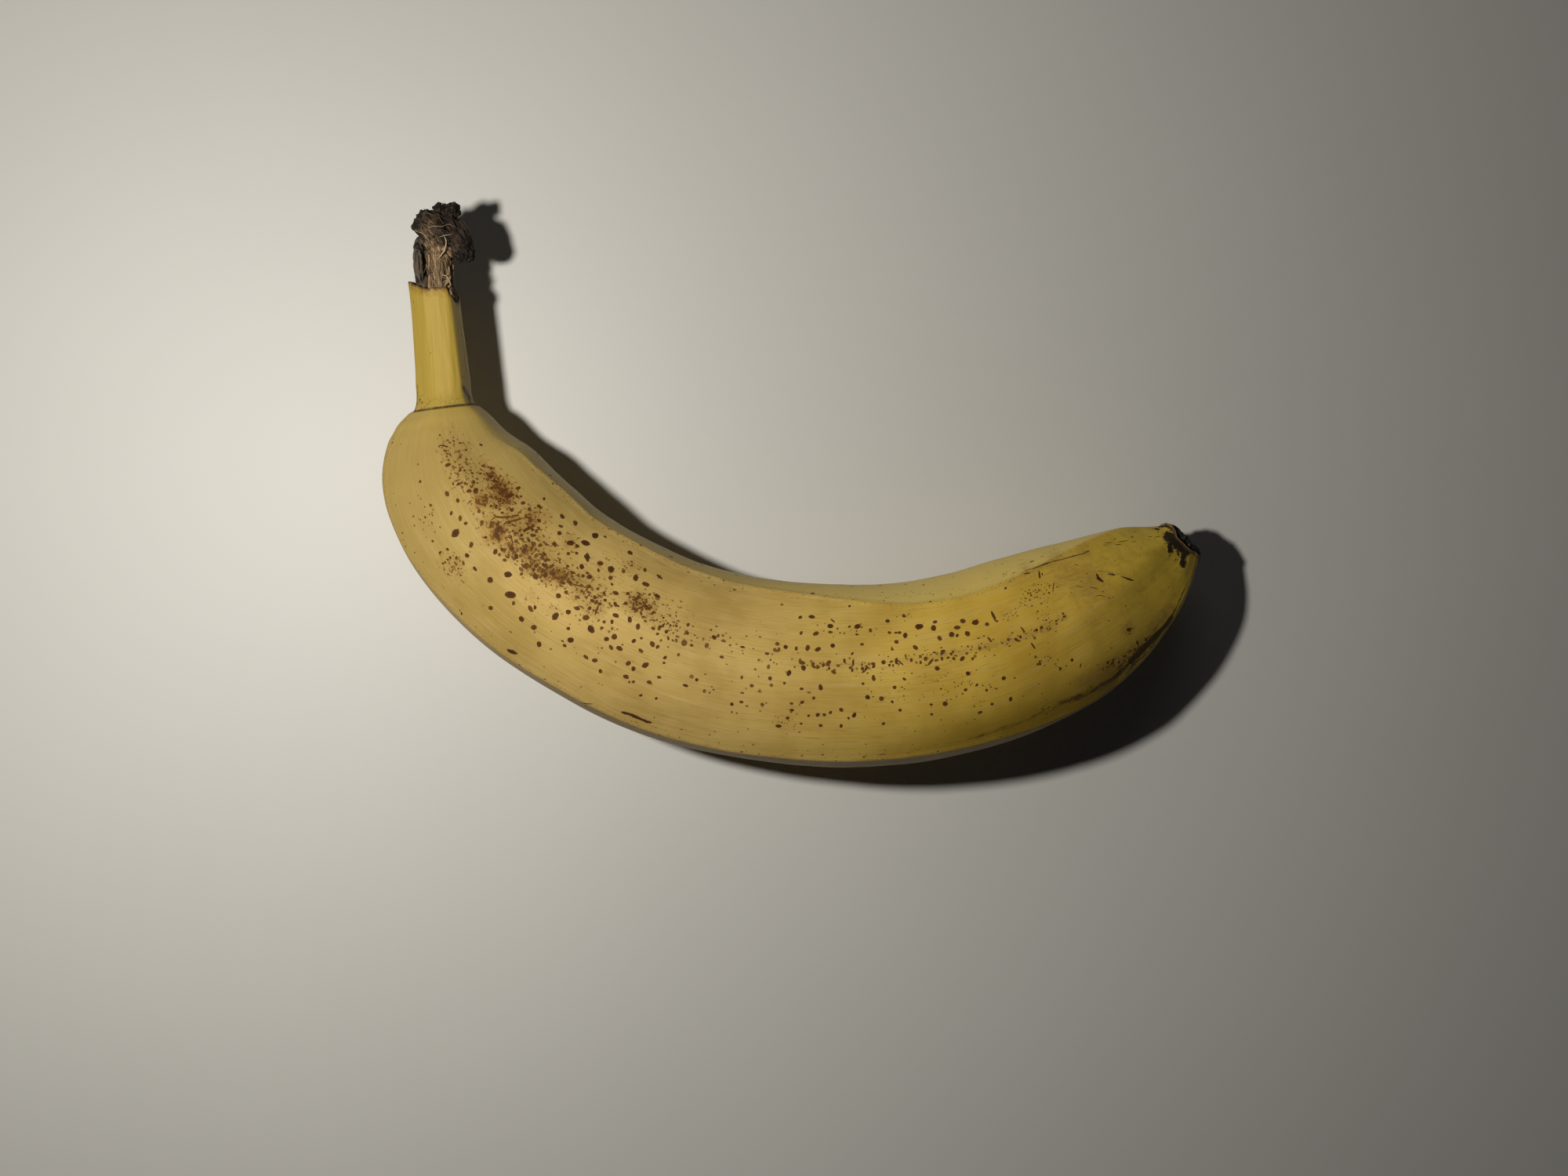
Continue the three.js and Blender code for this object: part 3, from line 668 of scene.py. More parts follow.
# %% The larger spots
# x, y and diameter in millimetres, as the camera sees them
SPOTS = [
    (-72.3, 26.5, 1.1), (-78.3, 22.9, 0.7), (-72.5, 20.3, 1.1), (-71.6, 16.1, 0.8), (-69.7, 15, 1),
    (-70.7, 11.8, 1.8), (-67.3, 9.3, 1.1), (-68.2, 7, 1), (-70.5, 6.5, 0.7), (-72.4, 8.3, 0.7),
    (-74, 7.6, 0.7), (-73.4, 5.3, 0.6), (-66.5, 4.1, 0.9), (-63.2, 1.7, 1.3), (-58.9, -1.5, 1.9),
    (-59.4, 2.9, 1.5), (-62.1, 7.8, 1.1), (-61.8, 11.5, 1.5), (-68.5, 13.9, 0.8), (-64.9, 14.2, 0.8),
    (-64.2, 10.9, 0.7), (-65.6, 16.5, 0.8), (-67.8, 20.9, 0.9), (-66.2, 20.7, 0.8), (-70.2, 18.8, 0.9),
    (-67.1, 24.7, 0.6), (-69.7, 25.3, 0.7), (-65.2, 30.8, 0.7), (-68.4, 29.7, 0.6), (-69.7, 31.2, 0.6),
    (-57.2, 21.5, 1), (-56.1, 18.3, 0.9), (-52.6, 17.5, 1), (-54.8, 17, 0.8), (-51.6, 19.2, 0.7),
    (-47.7, 15.4, 1.1), (-44.9, 14, 1.1), (-48, 13.3, 0.8), (-48.3, 11.8, 1), (-40.6, 11.3, 1.5),
    (-45.9, 9.7, 1.5), (-42.7, 9.7, 1.6), (-44.5, 9.1, 0.9), (-49.3, 9.4, 1), (-46.4, 7.4, 0.8),
    (-44.6, 7.5, 0.7), (-42.3, 6.6, 1.6), (-43.5, 4.6, 1.1), (-39.5, 5.3, 1.2), (-39.9, 3.8, 0.7),
    (-37.2, 4, 1.5), (-37.3, 2.2, 1), (-34.5, 3.6, 0.9), (-33.1, 7.6, 1.1), (-31.9, 2.2, 1.3),
    (-29.7, 0.8, 1.3), (-29.9, 3.9, 0.9), (-26.8, 2.4, 0.8), (-41.8, 2.4, 1.1), (-41.8, 0.4, 0.6),
    (-37, 0.8, 0.6), (-36.2, -1.1, 1.1), (-33.6, -1.2, 0.8), (-27.3, -1.7, 1.1), (-28.9, -1.4, 0.6),
    (-38.7, -1.1, 0.7), (-38.5, -2.6, 0.7), (-40.7, -2, 0.8), (-48.5, -1.7, 1.1), (-46.4, -5.2, 1.1),
    (-44.5, -4.4, 1), (-42.6, -6.4, 1.3), (-42, -4.4, 0.6), (-41.5, -8.9, 1.6), (-39.2, -8.6, 0.7),
    (-38.7, -7.3, 0.7), (-36.3, -3.5, 0.9), (-36.2, -5.9, 1.1), (-37, -7.3, 0.8), (-34, -3.3, 0.8),
    (-33.2, -6.8, 1.1), (-31.4, -8.3, 1.1), (-29.4, -4.3, 1), (-28.1, -5.2, 0.7), (-26.7, -8.4, 0.8),
    (-25.3, -9.4, 0.8), (-27.2, -9.9, 0.6), (-30.7, -10.8, 0.6), (-32.3, -11.4, 0.9),
    (-28.3, -12.1, 1.1), (-27.2, -12.7, 0.8), (-24.9, -10.9, 0.6), (-36.5, -10.5, 1.2),
    (-38.2, -11, 1), (-37.2, -12.8, 1), (-35.4, -13, 1.2), (-30.8, -13.5, 0.9), (-25.6, -15, 0.8),
    (-25.8, -16.1, 0.6), (-45.9, -11.2, 1.3), (-46.4, -8.7, 0.8), (-47.2, -12.4, 0.8),
    (-42.6, -14.9, 1), (-40.7, -15.6, 1.1), (-39.5, -17.9, 0.9), (-33.5, -16.2, 1.1),
    (-32.4, -17.4, 1), (-29.8, -16.6, 1.3), (-34, -19.1, 1.1), (-32.4, -20.2, 0.7), (-29, -20.3, 1),
    (-26.9, -19.2, 0.8), (-30.8, -23.1, 0.7), (-27.5, -23.8, 0.6), (-52.7, -12.1, 1.2),
    (-53.8, -8.5, 1.2), (-54.5, -4.5, 1.2), (-53.6, -4.2, 0.8), (-56.5, -6.7, 1.2), (-49.2, -6.1, 1.5),
    (-58.2, -3.3, 0.8), (-63.1, -4.3, 1), (-69.4, -5.5, 0.6), (-76.1, 17.8, 0.6), (-75.6, 10.1, 0.6),
    (-55.4, 4.8, 1.3), (-53.5, 2.5, 1.3), (-55.9, 8.1, 1.1), (-53.3, 4.8, 1), (-54.7, 4.6, 0.8),
    (-57.6, 6.8, 1), (-60.1, 6, 0.8), (-60.7, 8.3, 0.8), (-58.6, 8.5, 1), (-57.6, 10.2, 0.6),
    (-56.5, 3, 0.7), (-51.9, 3.7, 0.9), (-49.9, 3.4, 1.1), (-51.2, 4.9, 0.7), (-53.8, 11.3, 0.8),
    (-52.4, 9.2, 0.8), (-52.7, 14.5, 0.8), (-53.3, 12.1, 0.6), (-56.6, 19.7, 0.6), (-58.6, 16.8, 0.9),
    (-60.6, 16.2, 0.6), (-61.5, 23.5, 0.7), (-63.1, 23.7, 1), (-64.8, 26.3, 0.7), (-66.7, 22.7, 0.7),
    (-68.6, 22.5, 0.7), (-69.6, 22.5, 0.6), (-71.2, 22.5, 0.6), (3.5, -6.3, 0.8), (6, -6.2, 1.1),
    (3.7, -9.7, 0.8), (6.9, -9.8, 1.1), (10, -8.2, 1.2), (10, -9.5, 0.8), (14.1, -3.9, 0.6),
    (15.8, -8.3, 1.2), (15.7, -10, 0.6), (14.1, -8.3, 0.6), (18.6, -9.1, 0.8), (22.3, -7.1, 0.9),
    (22.7, -9.6, 0.7), (24.1, -9.6, 0.6), (24.9, -9.6, 0.7), (26.1, -10.2, 1.1), (24.2, -11.6, 0.9),
    (25.8, -6, 0.8), (31.5, -2.9, 0.6), (29.1, -8.3, 1.5), (32.5, -7.3, 0.8), (32.2, -8.6, 1.2),
    (33.5, -10.8, 1), (28.3, -12.8, 1), (38.5, -7.1, 1.1), (41.2, -7.4, 1.3), (37.3, -8.5, 1.1),
    (36.1, -10, 1.2), (37.3, -10.2, 0.7), (39.5, -9.8, 1.1), (43.7, -7.8, 0.9), (45.8, -7.2, 0.6),
    (47.7, 0, 0.6), (10.5, -12.4, 1), (5.1, -12.9, 1.1), (7.3, -13.2, 1.1), (16.8, -12.1, 0.7),
    (14.7, -14.1, 0.6), (23.3, -13.2, 0.6), (3.9, -16.1, 1), (4.2, -17.2, 1.1), (6.4, -16.9, 0.8),
    (7.4, -17, 0.7), (8.5, -16.6, 0.8), (9.7, -16, 0.9), (9.7, -17.3, 0.6), (10.7, -18.1, 0.9),
    (13, -15.7, 0.7), (14.7, -17.7, 0.6), (16.9, -17.4, 0.8), (17.7, -17, 0.8), (19.3, -16.9, 0.7),
    (21.4, -16, 0.9), (22.7, -16.6, 0.6), (24.3, -15.7, 1.1), (27.4, -15.5, 0.7), (29.4, -16, 0.6),
    (30.5, -15.2, 0.9), (33, -17.3, 1), (34.1, -13.9, 0.8), (34, -15.2, 0.7), (36, -14.2, 0.6),
    (38.4, -15.2, 1), (40.6, -15.2, 0.6), (50, -11.1, 0.8), (19.3, -19.4, 1), (7.9, -21.4, 1.1),
    (17, -20.6, 0.6), (18, -23.5, 1), (21, -23.8, 1), (23.3, -24.5, 0.6), (23.8, -21.4, 0.8),
    (25.9, -19.6, 0.7), (6.4, -23.7, 0.7), (3.8, -21.7, 0.7), (3.9, -24.6, 0.8), (1.7, -26.3, 0.8),
    (0.8, -28, 0.8), (5.3, -27.5, 0.6), (7.3, -27.3, 0.9), (8.7, -27.3, 0.7), (10, -26.8, 0.7),
    (12.3, -26.2, 0.9), (15.1, -27.4, 1), (13.9, -28, 0.6), (7.9, -29.6, 0.8), (12.3, -29.7, 0.8),
    (3.7, -29.2, 0.6), (21.4, -29.2, 0.7), (25, -26.3, 0.7), (31.7, -25.1, 0.6), (31.8, -27.2, 0.6),
    (34.7, -24.9, 1.1), (39.6, -18.4, 0.9), (39.1, -21.9, 0.7), (41.5, -20.9, 0.6), (43.6, -22, 0.6),
    (44.8, -25, 0.7), (42.2, -26.8, 0.8), (47.3, -19.4, 0.9), (48.8, -23.9, 0.9), (55, -16.3, 0.8),
    (59.5, -17.4, 0.7), (62, -15.5, 0.7), (74.2, -9, 1), (1.1, -18.3, 1.1), (0.1, -20.5, 0.6),
]

# %% Strokes: scars, dashes and joined-up blots
# width, how dark from 0 to 1, then the points that the stroke passes through, as the camera
# sees them
STROKES = [
    # the long scar on the upper edge, and the dashes that carry it on to the blossom end
    (0.32, 0.62, [(51.3, 3.4), (53.3, 4.2), (55.3, 4.9), (57.3, 5.6)]),
    (0.24, 0.50, [(57.3, 5.6), (59.4, 6.1), (61.4, 6.6), (62.7, 7.0), (64.4, 7.4), (65.4, 7.8)]),
    (0.50, 0.70, [(51.6, 3.1), (53.0, 3.3)]),
    (0.42, 0.60, [(64.2, 7.6), (65.7, 7.9)]),
    (0.16, 1.0, [(68.8, 9.2), (69.2, 9.3), (69.7, 9.3)]),
    (0.17, 1.0, [(69.1, 9.7), (69.9, 9.7), (70.7, 9.8)]),
    (0.20, 1.0, [(71.3, 9.3), (71.9, 9.3), (72.5, 9.4)]),
    (0.18, 1.0, [(71.8, 9.9), (72.9, 10.1), (73.9, 10.2)]),
    (0.15, 0.9, [(74.9, 9.9), (75.3, 10.0), (75.7, 10.0)]),
    (0.18, 1.0, [(78.4, 11.0), (78.8, 11.0), (79.3, 11.1)]),
    (0.20, 1.0, [(79.8, 10.9), (80.4, 11.0), (80.9, 11.1)]),
    # three dark nicks and the fine scratches beside them
    (0.62, 1.0, [(67.3, 3.2), (67.5, 2.4), (68.1, 1.9), (68.7, 1.4)]),
    (0.52, 1.0, [(69.8, 3.0), (70.5, 2.8), (71.3, 2.8)]),
    (0.50, 1.0, [(72.7, 2.4), (73.9, 2.0), (75.2, 1.5)]),
    (0.12, 0.45, [(67.5, 3.7), (70.2, 3.4), (72.2, 2.9)]),
    (0.15, 0.45, [(62.9, 0.5), (63.7, 0.3), (64.4, 0.1)]),
    (0.15, 0.45, [(65.8, 0.2), (66.6, 0.1), (67.5, -0.2)]),
    (0.14, 0.45, [(66.9, -1.7), (67.8, -1.5), (69.3, -1.9)]),
    (0.20, 0.7, [(64.9, 3.2), (65.4, 3.0)]),
    (0.20, 0.8, [(62.6, 5.1), (63.4, 4.9)]),
    # short strokes across the skin
    (0.50, 0.8, [(54.8, 3.4), (55.0, 2.2)]),
    (0.34, 0.7, [(55.5, 3.2), (55.7, 2.7)]),
    (0.22, 0.6, [(58.1, 1.2), (57.9, -0.8)]),
    (0.62, 0.7, [(44.7, -5.2), (45.2, -6.1), (45.7, -7.0)]),
    (0.40, 0.6, [(50.9, -8.4), (51.8, -9.4)]),
    (0.45, 0.6, [(53.1, -12.0), (54.0, -13.0)]),
    (0.45, 0.5, [(43.8, -10.6), (44.7, -11.5)]),
    (0.45, 0.7, [(55.0, -15.7), (55.1, -16.7)]),
    (0.36, 0.5, [(63.9, -16.2), (63.8, -17.2)]),
    (0.50, 0.5, [(14.9, -15.5), (14.9, -16.9)]),
    (0.45, 0.5, [(9.5, -15.6), (9.7, -16.9)]),
    (0.55, 0.5, [(17.0, -18.3), (18.2, -16.9)]),
    (0.45, 0.5, [(24.6, -15.5), (25.6, -16.6)]),
    (0.60, 0.6, [(31.0, -16.4), (32.0, -15.2)]),
    # the dark scar and the scratch on the outer edge
    (0.90, 0.9, [(-35.1, -26.7), (-32.9, -27.3), (-30.7, -28.2), (-28.2, -29.2)]),
    (0.35, 0.6, [(-44.2, -24.5), (-42.7, -25.0), (-41.0, -25.0)]),
    (1.30, 0.9, [(-59.4, -13.3), (-58.0, -13.7), (-57.5, -14.0)]),
    # a broken ring and a few worm-like marks in the bruise
    (0.48, 0.35, [(-66.5, 19.4), (-66.2, 18.2), (-64.9, 17.9), (-63.7, 18.4)]),
    (0.48, 0.35, [(-63.7, 18.4), (-63.8, 19.4), (-64.7, 19.9), (-65.7, 19.6)]),
    (0.42, 0.45, [(-58.2, 15.3), (-59.9, 15.3), (-61.1, 15.1), (-62.2, 15.4), (-62.9, 14.5)]),
    (0.65, 0.55, [(-62.9, 14.6), (-63.4, 13.9), (-62.7, 13.2), (-63.2, 12.7)]),
    (0.42, 0.50, [(-60.5, 13.5), (-59.9, 14.1), (-58.6, 14.3), (-57.3, 14.7), (-56.1, 15.1)]),
    (0.45, 0.55, [(-56.1, 15.1), (-54.8, 15.3), (-54.4, 14.6), (-54.9, 14.0)]),
    (0.75, 0.80, [(-56.1, 12.6), (-55.2, 13.0), (-54.3, 13.4)]),
    (1.00, 0.80, [(-63.5, 24.2), (-63.0, 23.3)]),
    (0.70, 0.80, [(-62.9, 23.1), (-61.7, 22.9)]),
    (0.55, 0.60, [(-63.7, 21.3), (-62.6, 21.9), (-60.9, 22.6)]),
    (0.80, 0.80, [(-61.3, 20.2), (-60.4, 20.8), (-59.3, 21.4)]),
    (0.95, 0.90, [(-60.0, 19.7), (-58.6, 20.1)]),
    (0.50, 0.60, [(-62.0, 18.9), (-60.7, 19.4)]),
    (0.85, 0.80, [(-68.2, 20.8), (-67.1, 21.0)]),
    (0.95, 0.85, [(-66.7, 20.7), (-65.9, 21.5)]),
    (1.20, 0.80, [(-62.2, 11.6), (-61.0, 12.6)]),
    (0.50, 0.50, [(-48.1, 1.0), (-47.2, 2.1), (-46.3, 3.7)]),
    (0.75, 0.50, [(-48.2, 0.8), (-47.5, 1.7)]),
    (0.28, 0.50, [(-46.3, 1.5), (-45.2, 0.6), (-43.6, 0.3), (-40.9, 0.0)]),
    (0.90, 0.70, [(-46.2, 1.4), (-45.5, 0.8)]),
    (1.10, 0.85, [(-50.3, 3.6), (-49.3, 2.9)]),
    (0.60, 0.60, [(-49.2, 2.6), (-47.9, 1.8)]),
    (1.05, 0.85, [(-42.4, 7.2), (-42.2, 5.7)]),
    (0.45, 0.35, [(-32.4, -3.2), (-32.3, -4.9), (-31.3, -4.4), (-30.2, -4.0), (-29.6, -3.2)]),
    (0.80, 0.60, [(-31.6, -1.8), (-30.9, -2.5)]),
    (0.75, 0.60, [(-29.4, -3.8), (-29.0, -4.8)]),
    (0.55, 0.50, [(-40.6, -5.6), (-40.0, -4.6), (-39.8, -3.9)]),
    (0.55, 0.90, [(-27.3, 2.8), (-26.3, 2.1)]),
    (0.40, 0.90, [(-74.1, 30.8), (-72.4, 30.5)]),
    (0.40, 0.50, [(10.1, -6.7), (10.9, -7.4)]),
]

# %% Fine flecks on the side that is seen
# how many, how far they stray, smallest and largest diameter, then the line that they follow
TRAILS = [
    # the bruise, from its start down to the broken ring at its end
    (44, 1.5, 0.36, 0.75, [(-73.0, 30.4), (-70.5, 28.5), (-67.5, 26.5)]),
    (24, 0.9, 0.36, 0.80, [(-71.0, 23.4), (-66.0, 22.6)]),
    (36, 1.0, 0.38, 0.95, [(-63.7, 25.6), (-61.4, 21.8), (-58.4, 18.6)]),
    (24, 0.9, 0.36, 0.80, [(-65.5, 18.8), (-60.5, 17.9)]),
    (40, 1.3, 0.36, 0.85, [(-63.0, 12.6), (-57.5, 12.2), (-53.0, 13.6)]),
    (66, 1.7, 0.36, 0.90, [(-60.0, 11.0), (-56.0, 9.4), (-51.5, 8.4)]),
    (76, 1.3, 0.38, 1.00, [(-57.0, 7.0), (-52.5, 5.0), (-48.0, 3.2), (-44.0, 1.0)]),
    (38, 1.5, 0.36, 0.90, [(-44.0, 0.0), (-40.0, -2.5), (-36.5, -3.6)]),
    (26, 1.0, 0.36, 0.90, [(-33.0, -2.4), (-29.5, -4.2)]),
    (40, 2.0, 0.36, 0.90, [(-29.0, -6.0), (-23.0, -8.0)]),
    (22, 2.4, 0.25, 0.60, [(-44.0, -7.0), (-30.0, -12.0)]),
    # the chain of dots that leads out of it
    (9, 0.25, 0.35, 0.70, [(-34.6, 3.1), (-34.3, 4.3), (-33.0, 5.4), (-32.2, 6.4)]),
    # the left side
    (24, 1.3, 0.25, 0.55, [(-77.5, 18.5), (-76.4, 12.5)]),
    (18, 1.2, 0.34, 0.65, [(-72.5, 7.5), (-70.5, 2.5)]),
    # half way along, first the part that the bruise and the right side join across
    (36, 3.0, 0.40, 1.30, [(-24.0, -9.5), (-11.0, -13.0), (2.0, -14.5)]),
    (24, 2.4, 0.40, 1.10, [(-24.0, -18.0), (-10.0, -22.5), (2.0, -25.5)]),
    (20, 1.2, 0.32, 0.90, [(-22.0, -8.5), (-10.0, -13.0), (2.0, -16.0)]),
    (46, 0.8, 0.32, 0.90, [(2.9, -16.3), (10, -16.6), (17.5, -16.4), (26.5, -15.6), (31, -15.1)]),
    (14, 0.9, 0.25, 0.55, [(9.2, -8.5), (17.0, -9.5)]),
    (10, 0.4, 0.22, 0.50, [(25.5, -6.0), (27.3, -6.4)]),
    (16, 0.4, 0.25, 0.55, [(-3.2, -28.6), (0.6, -29.0), (3.6, -31.3)]),
    (50, 3.0, 0.20, 0.45, [(18.0, -18.5), (38.0, -23.5)]),
    # the brown line along the right side, and the cluster of points above it
    (50, 1.0, 0.28, 0.85, [(31, -15.0), (37.1, -13.9), (43.8, -12.6), (47.2, -11.7)]),
    (38, 0.7, 0.28, 0.75, [(47.2, -11.7), (50.0, -11.0), (53.3, -9.6), (57, -8.2), (60.6, -6.3)]),
    (66, 1.1, 0.24, 0.48, [(52.3, -3.0), (54.2, -1.2), (57.2, 0.2)]),
    (30, 0.6, 0.20, 0.34, [(52.0, -3.4), (50.0, -5.0), (47.2, -6.0)]),
    (18, 0.8, 0.22, 0.42, [(54.3, -5.3), (58.2, -6.3)]),
    (18, 0.9, 0.26, 0.60, [(55.3, -14.8), (59.6, -17.0)]),
    (30, 1.3, 0.22, 0.50, [(33.5, -20.0), (46.0, -22.6)]),
    (12, 0.3, 0.24, 0.45, [(46.8, 2.7), (51.0, 3.6)]),
    (10, 0.5, 0.24, 0.60, [(73.6, -8.6), (75.2, -9.8)]),
    # dark grit over the outer edge near the blossom end, and specks beside the dry patch there
    (60, 0.8, 0.30, 0.90, [(68.5, -17.4), (72.0, -16.2), (75.2, -13.8), (77.6, -11.2)]),
    (24, 0.6, 0.24, 0.60, [(55.0, -26.4), (62.0, -23.6), (67.5, -21.2)]),
    (16, 0.5, 0.22, 0.48, [(82.4, 8.0), (83.4, 6.4), (84.6, 5.2)]),
    (12, 0.4, 0.22, 0.45, [(81.8, 11.8), (82.4, 10.2), (82.2, 9.0)]),
    # grit on the band inside the bend
    (40, 1.2, 0.18, 0.36, [(9.0, 1.5), (28.0, 0.4), (45.0, 4.6), (60.0, 9.6)]),
    (30, 0.5, 0.20, 0.40, [(8.0, -1.4), (20.0, -2.2), (33.0, -1.2), (43.0, 1.4)]),
]

# %% Flecks on the sides that are hardly seen
# how many, middle along and angle, spread along and in angle, smallest and largest diameter
FLECK_ZONES = [
    (40, 150, 108, 24, 16, 0.20, 0.42),
    (50, 148, 66, 28, 16, 0.20, 0.45),
    (40, 185, 80, 14, 30, 0.20, 0.40),
    (40, 80, 60, 34, 14, 0.25, 0.55),
    (110, 90, 32, 40, 6, 0.20, 0.50),  # pepper on the outer edge
    (60, 150, 26, 26, 8, 0.20, 0.50),
    (40, 130, 150, 60, 8, 0.20, 0.45),
    (60, 70, 147, 26, 2, 0.20, 0.50),  # and on the inner edge
    (220, 110, 250, 55, 55, 0.30, 1.30),  # the hidden under side
    (120, 110, 190, 50, 20, 0.25, 0.90),
    (90, 110, 330, 50, 20, 0.25, 1.00),
]
rng = np.random.default_rng(26)


# %% Where marks sit on the skin
def surface_frame(along, angle):
    """At places on the skin: the point, and unit arrows along the fruit and across it, from the
    differences of neighbouring points."""
    here = skin(along, angle, relief(along, angle))
    length = unit(skin(along + 0.2, angle, relief(along, angle)) - here)
    across = skin(along, angle + 1, relief(along, angle)) - here
    across -= (across * length).sum(axis=-1, keepdims=True) * length
    return here, length, unit(across)


def find_seen(targets):
    """Distance along and angle of the skin that the camera sees at each target: from the nearest
    point of the mesh that faces up, three short steps of Newton's method."""
    targets = np.array(targets)
    shown = np.flatnonzero(normals[:, 2] > 0.15)
    nearest = [shown[np.argmin(np.hypot(*(seen[shown] - target).T))] for target in targets]
    along, angle = point_along[nearest], point_angle[nearest]
    for _ in range(3):
        here = seen_at(skin(along, angle, relief(along, angle)))
        per_mm = (seen_at(skin(along + 0.1, angle, relief(along, angle))) - here) / 0.1
        per_degree = (seen_at(skin(along, angle + 0.3, relief(along, angle))) - here) / 0.3
        slopes = np.stack([per_mm, per_degree], axis=-1)
        move = np.linalg.solve(slopes, (targets - here)[..., None])[..., 0]
        along = along + np.clip(move[:, 0], -1, 1)
        angle = angle + np.clip(move[:, 1], -3, 3)
    return along, angle


def spot_marks():
    """The larger spots: nearly round, a little longer one way, each turned its own way."""
    x, y, size = np.array(SPOTS).T
    here, length, across = surface_frame(*find_seen(np.stack([x, y], axis=-1)))
    count = len(here)
    turn = rng.uniform(0, np.pi, count)[:, None]
    first = np.cos(turn) * length + np.sin(turn) * across
    second = np.cos(turn) * across - np.sin(turn) * length
    stretch = rng.uniform(1.0, 1.28, count)
    half = size * 0.5
    tone = np.clip(0.35 + 0.35 * size + rng.normal(0, 0.12, count), 0, 1)
    return here, first, second, half * stretch, half / stretch, tone, here, 0 * half


STROKE_LEG = 1.1  # mm


def on_route(route, choose):
    """Places on a line through a few points. choose is given the line's length and says how far
    from its start each place is."""
    route = np.array(route)
    travelled = np.append(0, np.cumsum(np.hypot(*np.diff(route, axis=0).T)))
    steps = choose(travelled[-1])
    return np.stack([np.interp(steps, travelled, column) for column in route.T], axis=-1)


def stroke_marks():
    """Each stroke as a chain of ellipses, one on each leg of its line. On an inner leg the ellipse
    is three times as long as the leg, so that its sides are almost straight there. On the first
    and last it has its middle on the inner joint, so that the stroke tapers to a point."""
    parts = []
    for width, dark, route in STROKES:
        line = on_route(route, lambda size: np.linspace(0, size, max(2, int(size / STROKE_LEG) + 1)))
        line += rng.normal(0, 0.16 * width, line.shape)
        here, length, across = surface_frame(*find_seen(line))
        leg = np.diff(here, axis=0)
        size = np.linalg.norm(leg, axis=-1)
        heading = leg / size[:, None]
        side = np.cross(np.cross(length, across)[1:], heading)
        middle = (here[1:] + here[:-1]) / 2
        centre, reach = middle.copy(), 1.5 * size
        if len(leg) == 1:
            reach = 0.6 * size
        else:
            centre[0], centre[-1] = here[1], here[-2]
            reach[0], reach[-1] = size[0], size[-1]
        half = 0.5 * width * rng.uniform(0.7, 1.15, len(leg))
        tone = np.full(len(leg), dark)
        parts.append((centre, heading, side, reach, half, tone, middle, 0.45 * size))
    return tuple(np.concatenate(column) for column in zip(*parts))


def along_trail(count, stray, route):
    """Random points beside a line through a few places."""
    line = on_route(route, lambda size: rng.uniform(0, size, count))
    return line + rng.normal(0, stray, line.shape)


def fleck_marks():
    """Fine flecks, most of them small: beside each trail as the camera sees it, then about each
    zone's middle on the sides that it hardly sees."""
    groups = []
    for count, stray, low, high, route in TRAILS:
        groups.append((*find_seen(along_trail(count, stray, route)), low, high))
    for count, along, angle, spread, fan, low, high in FLECK_ZONES:
        at = np.clip(rng.normal(along, spread, count), 1, 216)
        groups.append((at, rng.normal(angle, fan, count), low, high))
    parts = []
    for at, turn, low, high in groups:
        here, length, across = surface_frame(at, turn)
        half = 0.5 * (low + (high - low) * rng.random(len(at)) ** 1.8)
        stretch = rng.uniform(0.8, 1.4, len(at))
        tone = np.clip(rng.normal(0.30, 0.18, len(at)) + 1.1 * half, 0, 1)
        parts.append((here, length, across, half * stretch, half / stretch, tone, here, 0 * half))
    return tuple(np.concatenate(column) for column in zip(*parts))


# %% Write the marks to the peel's corners
def corner_data(piece):
    """For each face its middle, and for each corner its place and the face that it belongs to."""
    mesh = piece.data
    vertex = np.empty(len(mesh.loops), np.int32)
    mesh.loops.foreach_get("vertex_index", vertex)
    size = np.empty(len(mesh.polygons), np.int32)
    mesh.polygons.foreach_get("loop_total", size)
    face = np.repeat(np.arange(len(size)), size)
    corner = peel_points[vertex]
    middle = np.stack([np.bincount(face, corner[:, i]) for i in range(3)], axis=-1)
    return middle / size[:, None], corner, face


FAR = 9.0  # what a corner with no mark near it stores: nine half sizes from the middle


def store_marks(piece, name, marks):
    """Gives each face its nearest mark and each corner its place in that mark: how many half
    sizes it is from the middle, along the mark's first and second direction. A mark owns what is
    round its core, which is a point in a spot and a leg in a stroke."""
    here, first, second, half_first, half_second, tone, core, core_half = marks
    middle, corner, face = corner_data(piece)
    nearest = np.full(len(middle), 1.0)
    owner = np.full(len(middle), -1)
    for n in range(len(here)):
        close = np.flatnonzero(np.abs(middle - core[n]).max(axis=1) < core_half[n] + half_second[n] + 1.5)
        offset = middle[close] - core[n]
        slid = np.clip(offset @ first[n], -core_half[n], core_half[n])
        gap = np.linalg.norm(offset - slid[:, None] * first[n], axis=1) - half_second[n]
        won = gap < nearest[close]
        nearest[close[won]] = gap[won]
        owner[close[won]] = n
    mark = owner[face]
    offset = corner - here[mark]
    along_first = (offset * first[mark]).sum(axis=1) / half_first[mark]
    along_second = (offset * second[mark]).sum(axis=1) / half_second[mark]
    measure = np.stack([along_first, along_second], axis=-1)
    measure[mark < 0] = FAR
    piece.data.uv_layers.new(name=name).data.foreach_set("uv", measure.astype(np.float32).ravel())
    tones = piece.data.attributes.new(name + "_tone", "FLOAT", "CORNER")
    tones.data.foreach_set("value", np.where(mark < 0, 0, tone[mark]).astype(np.float32))
    print(f"{name}: {len(here)} marks on {np.count_nonzero(owner >= 0)} faces")


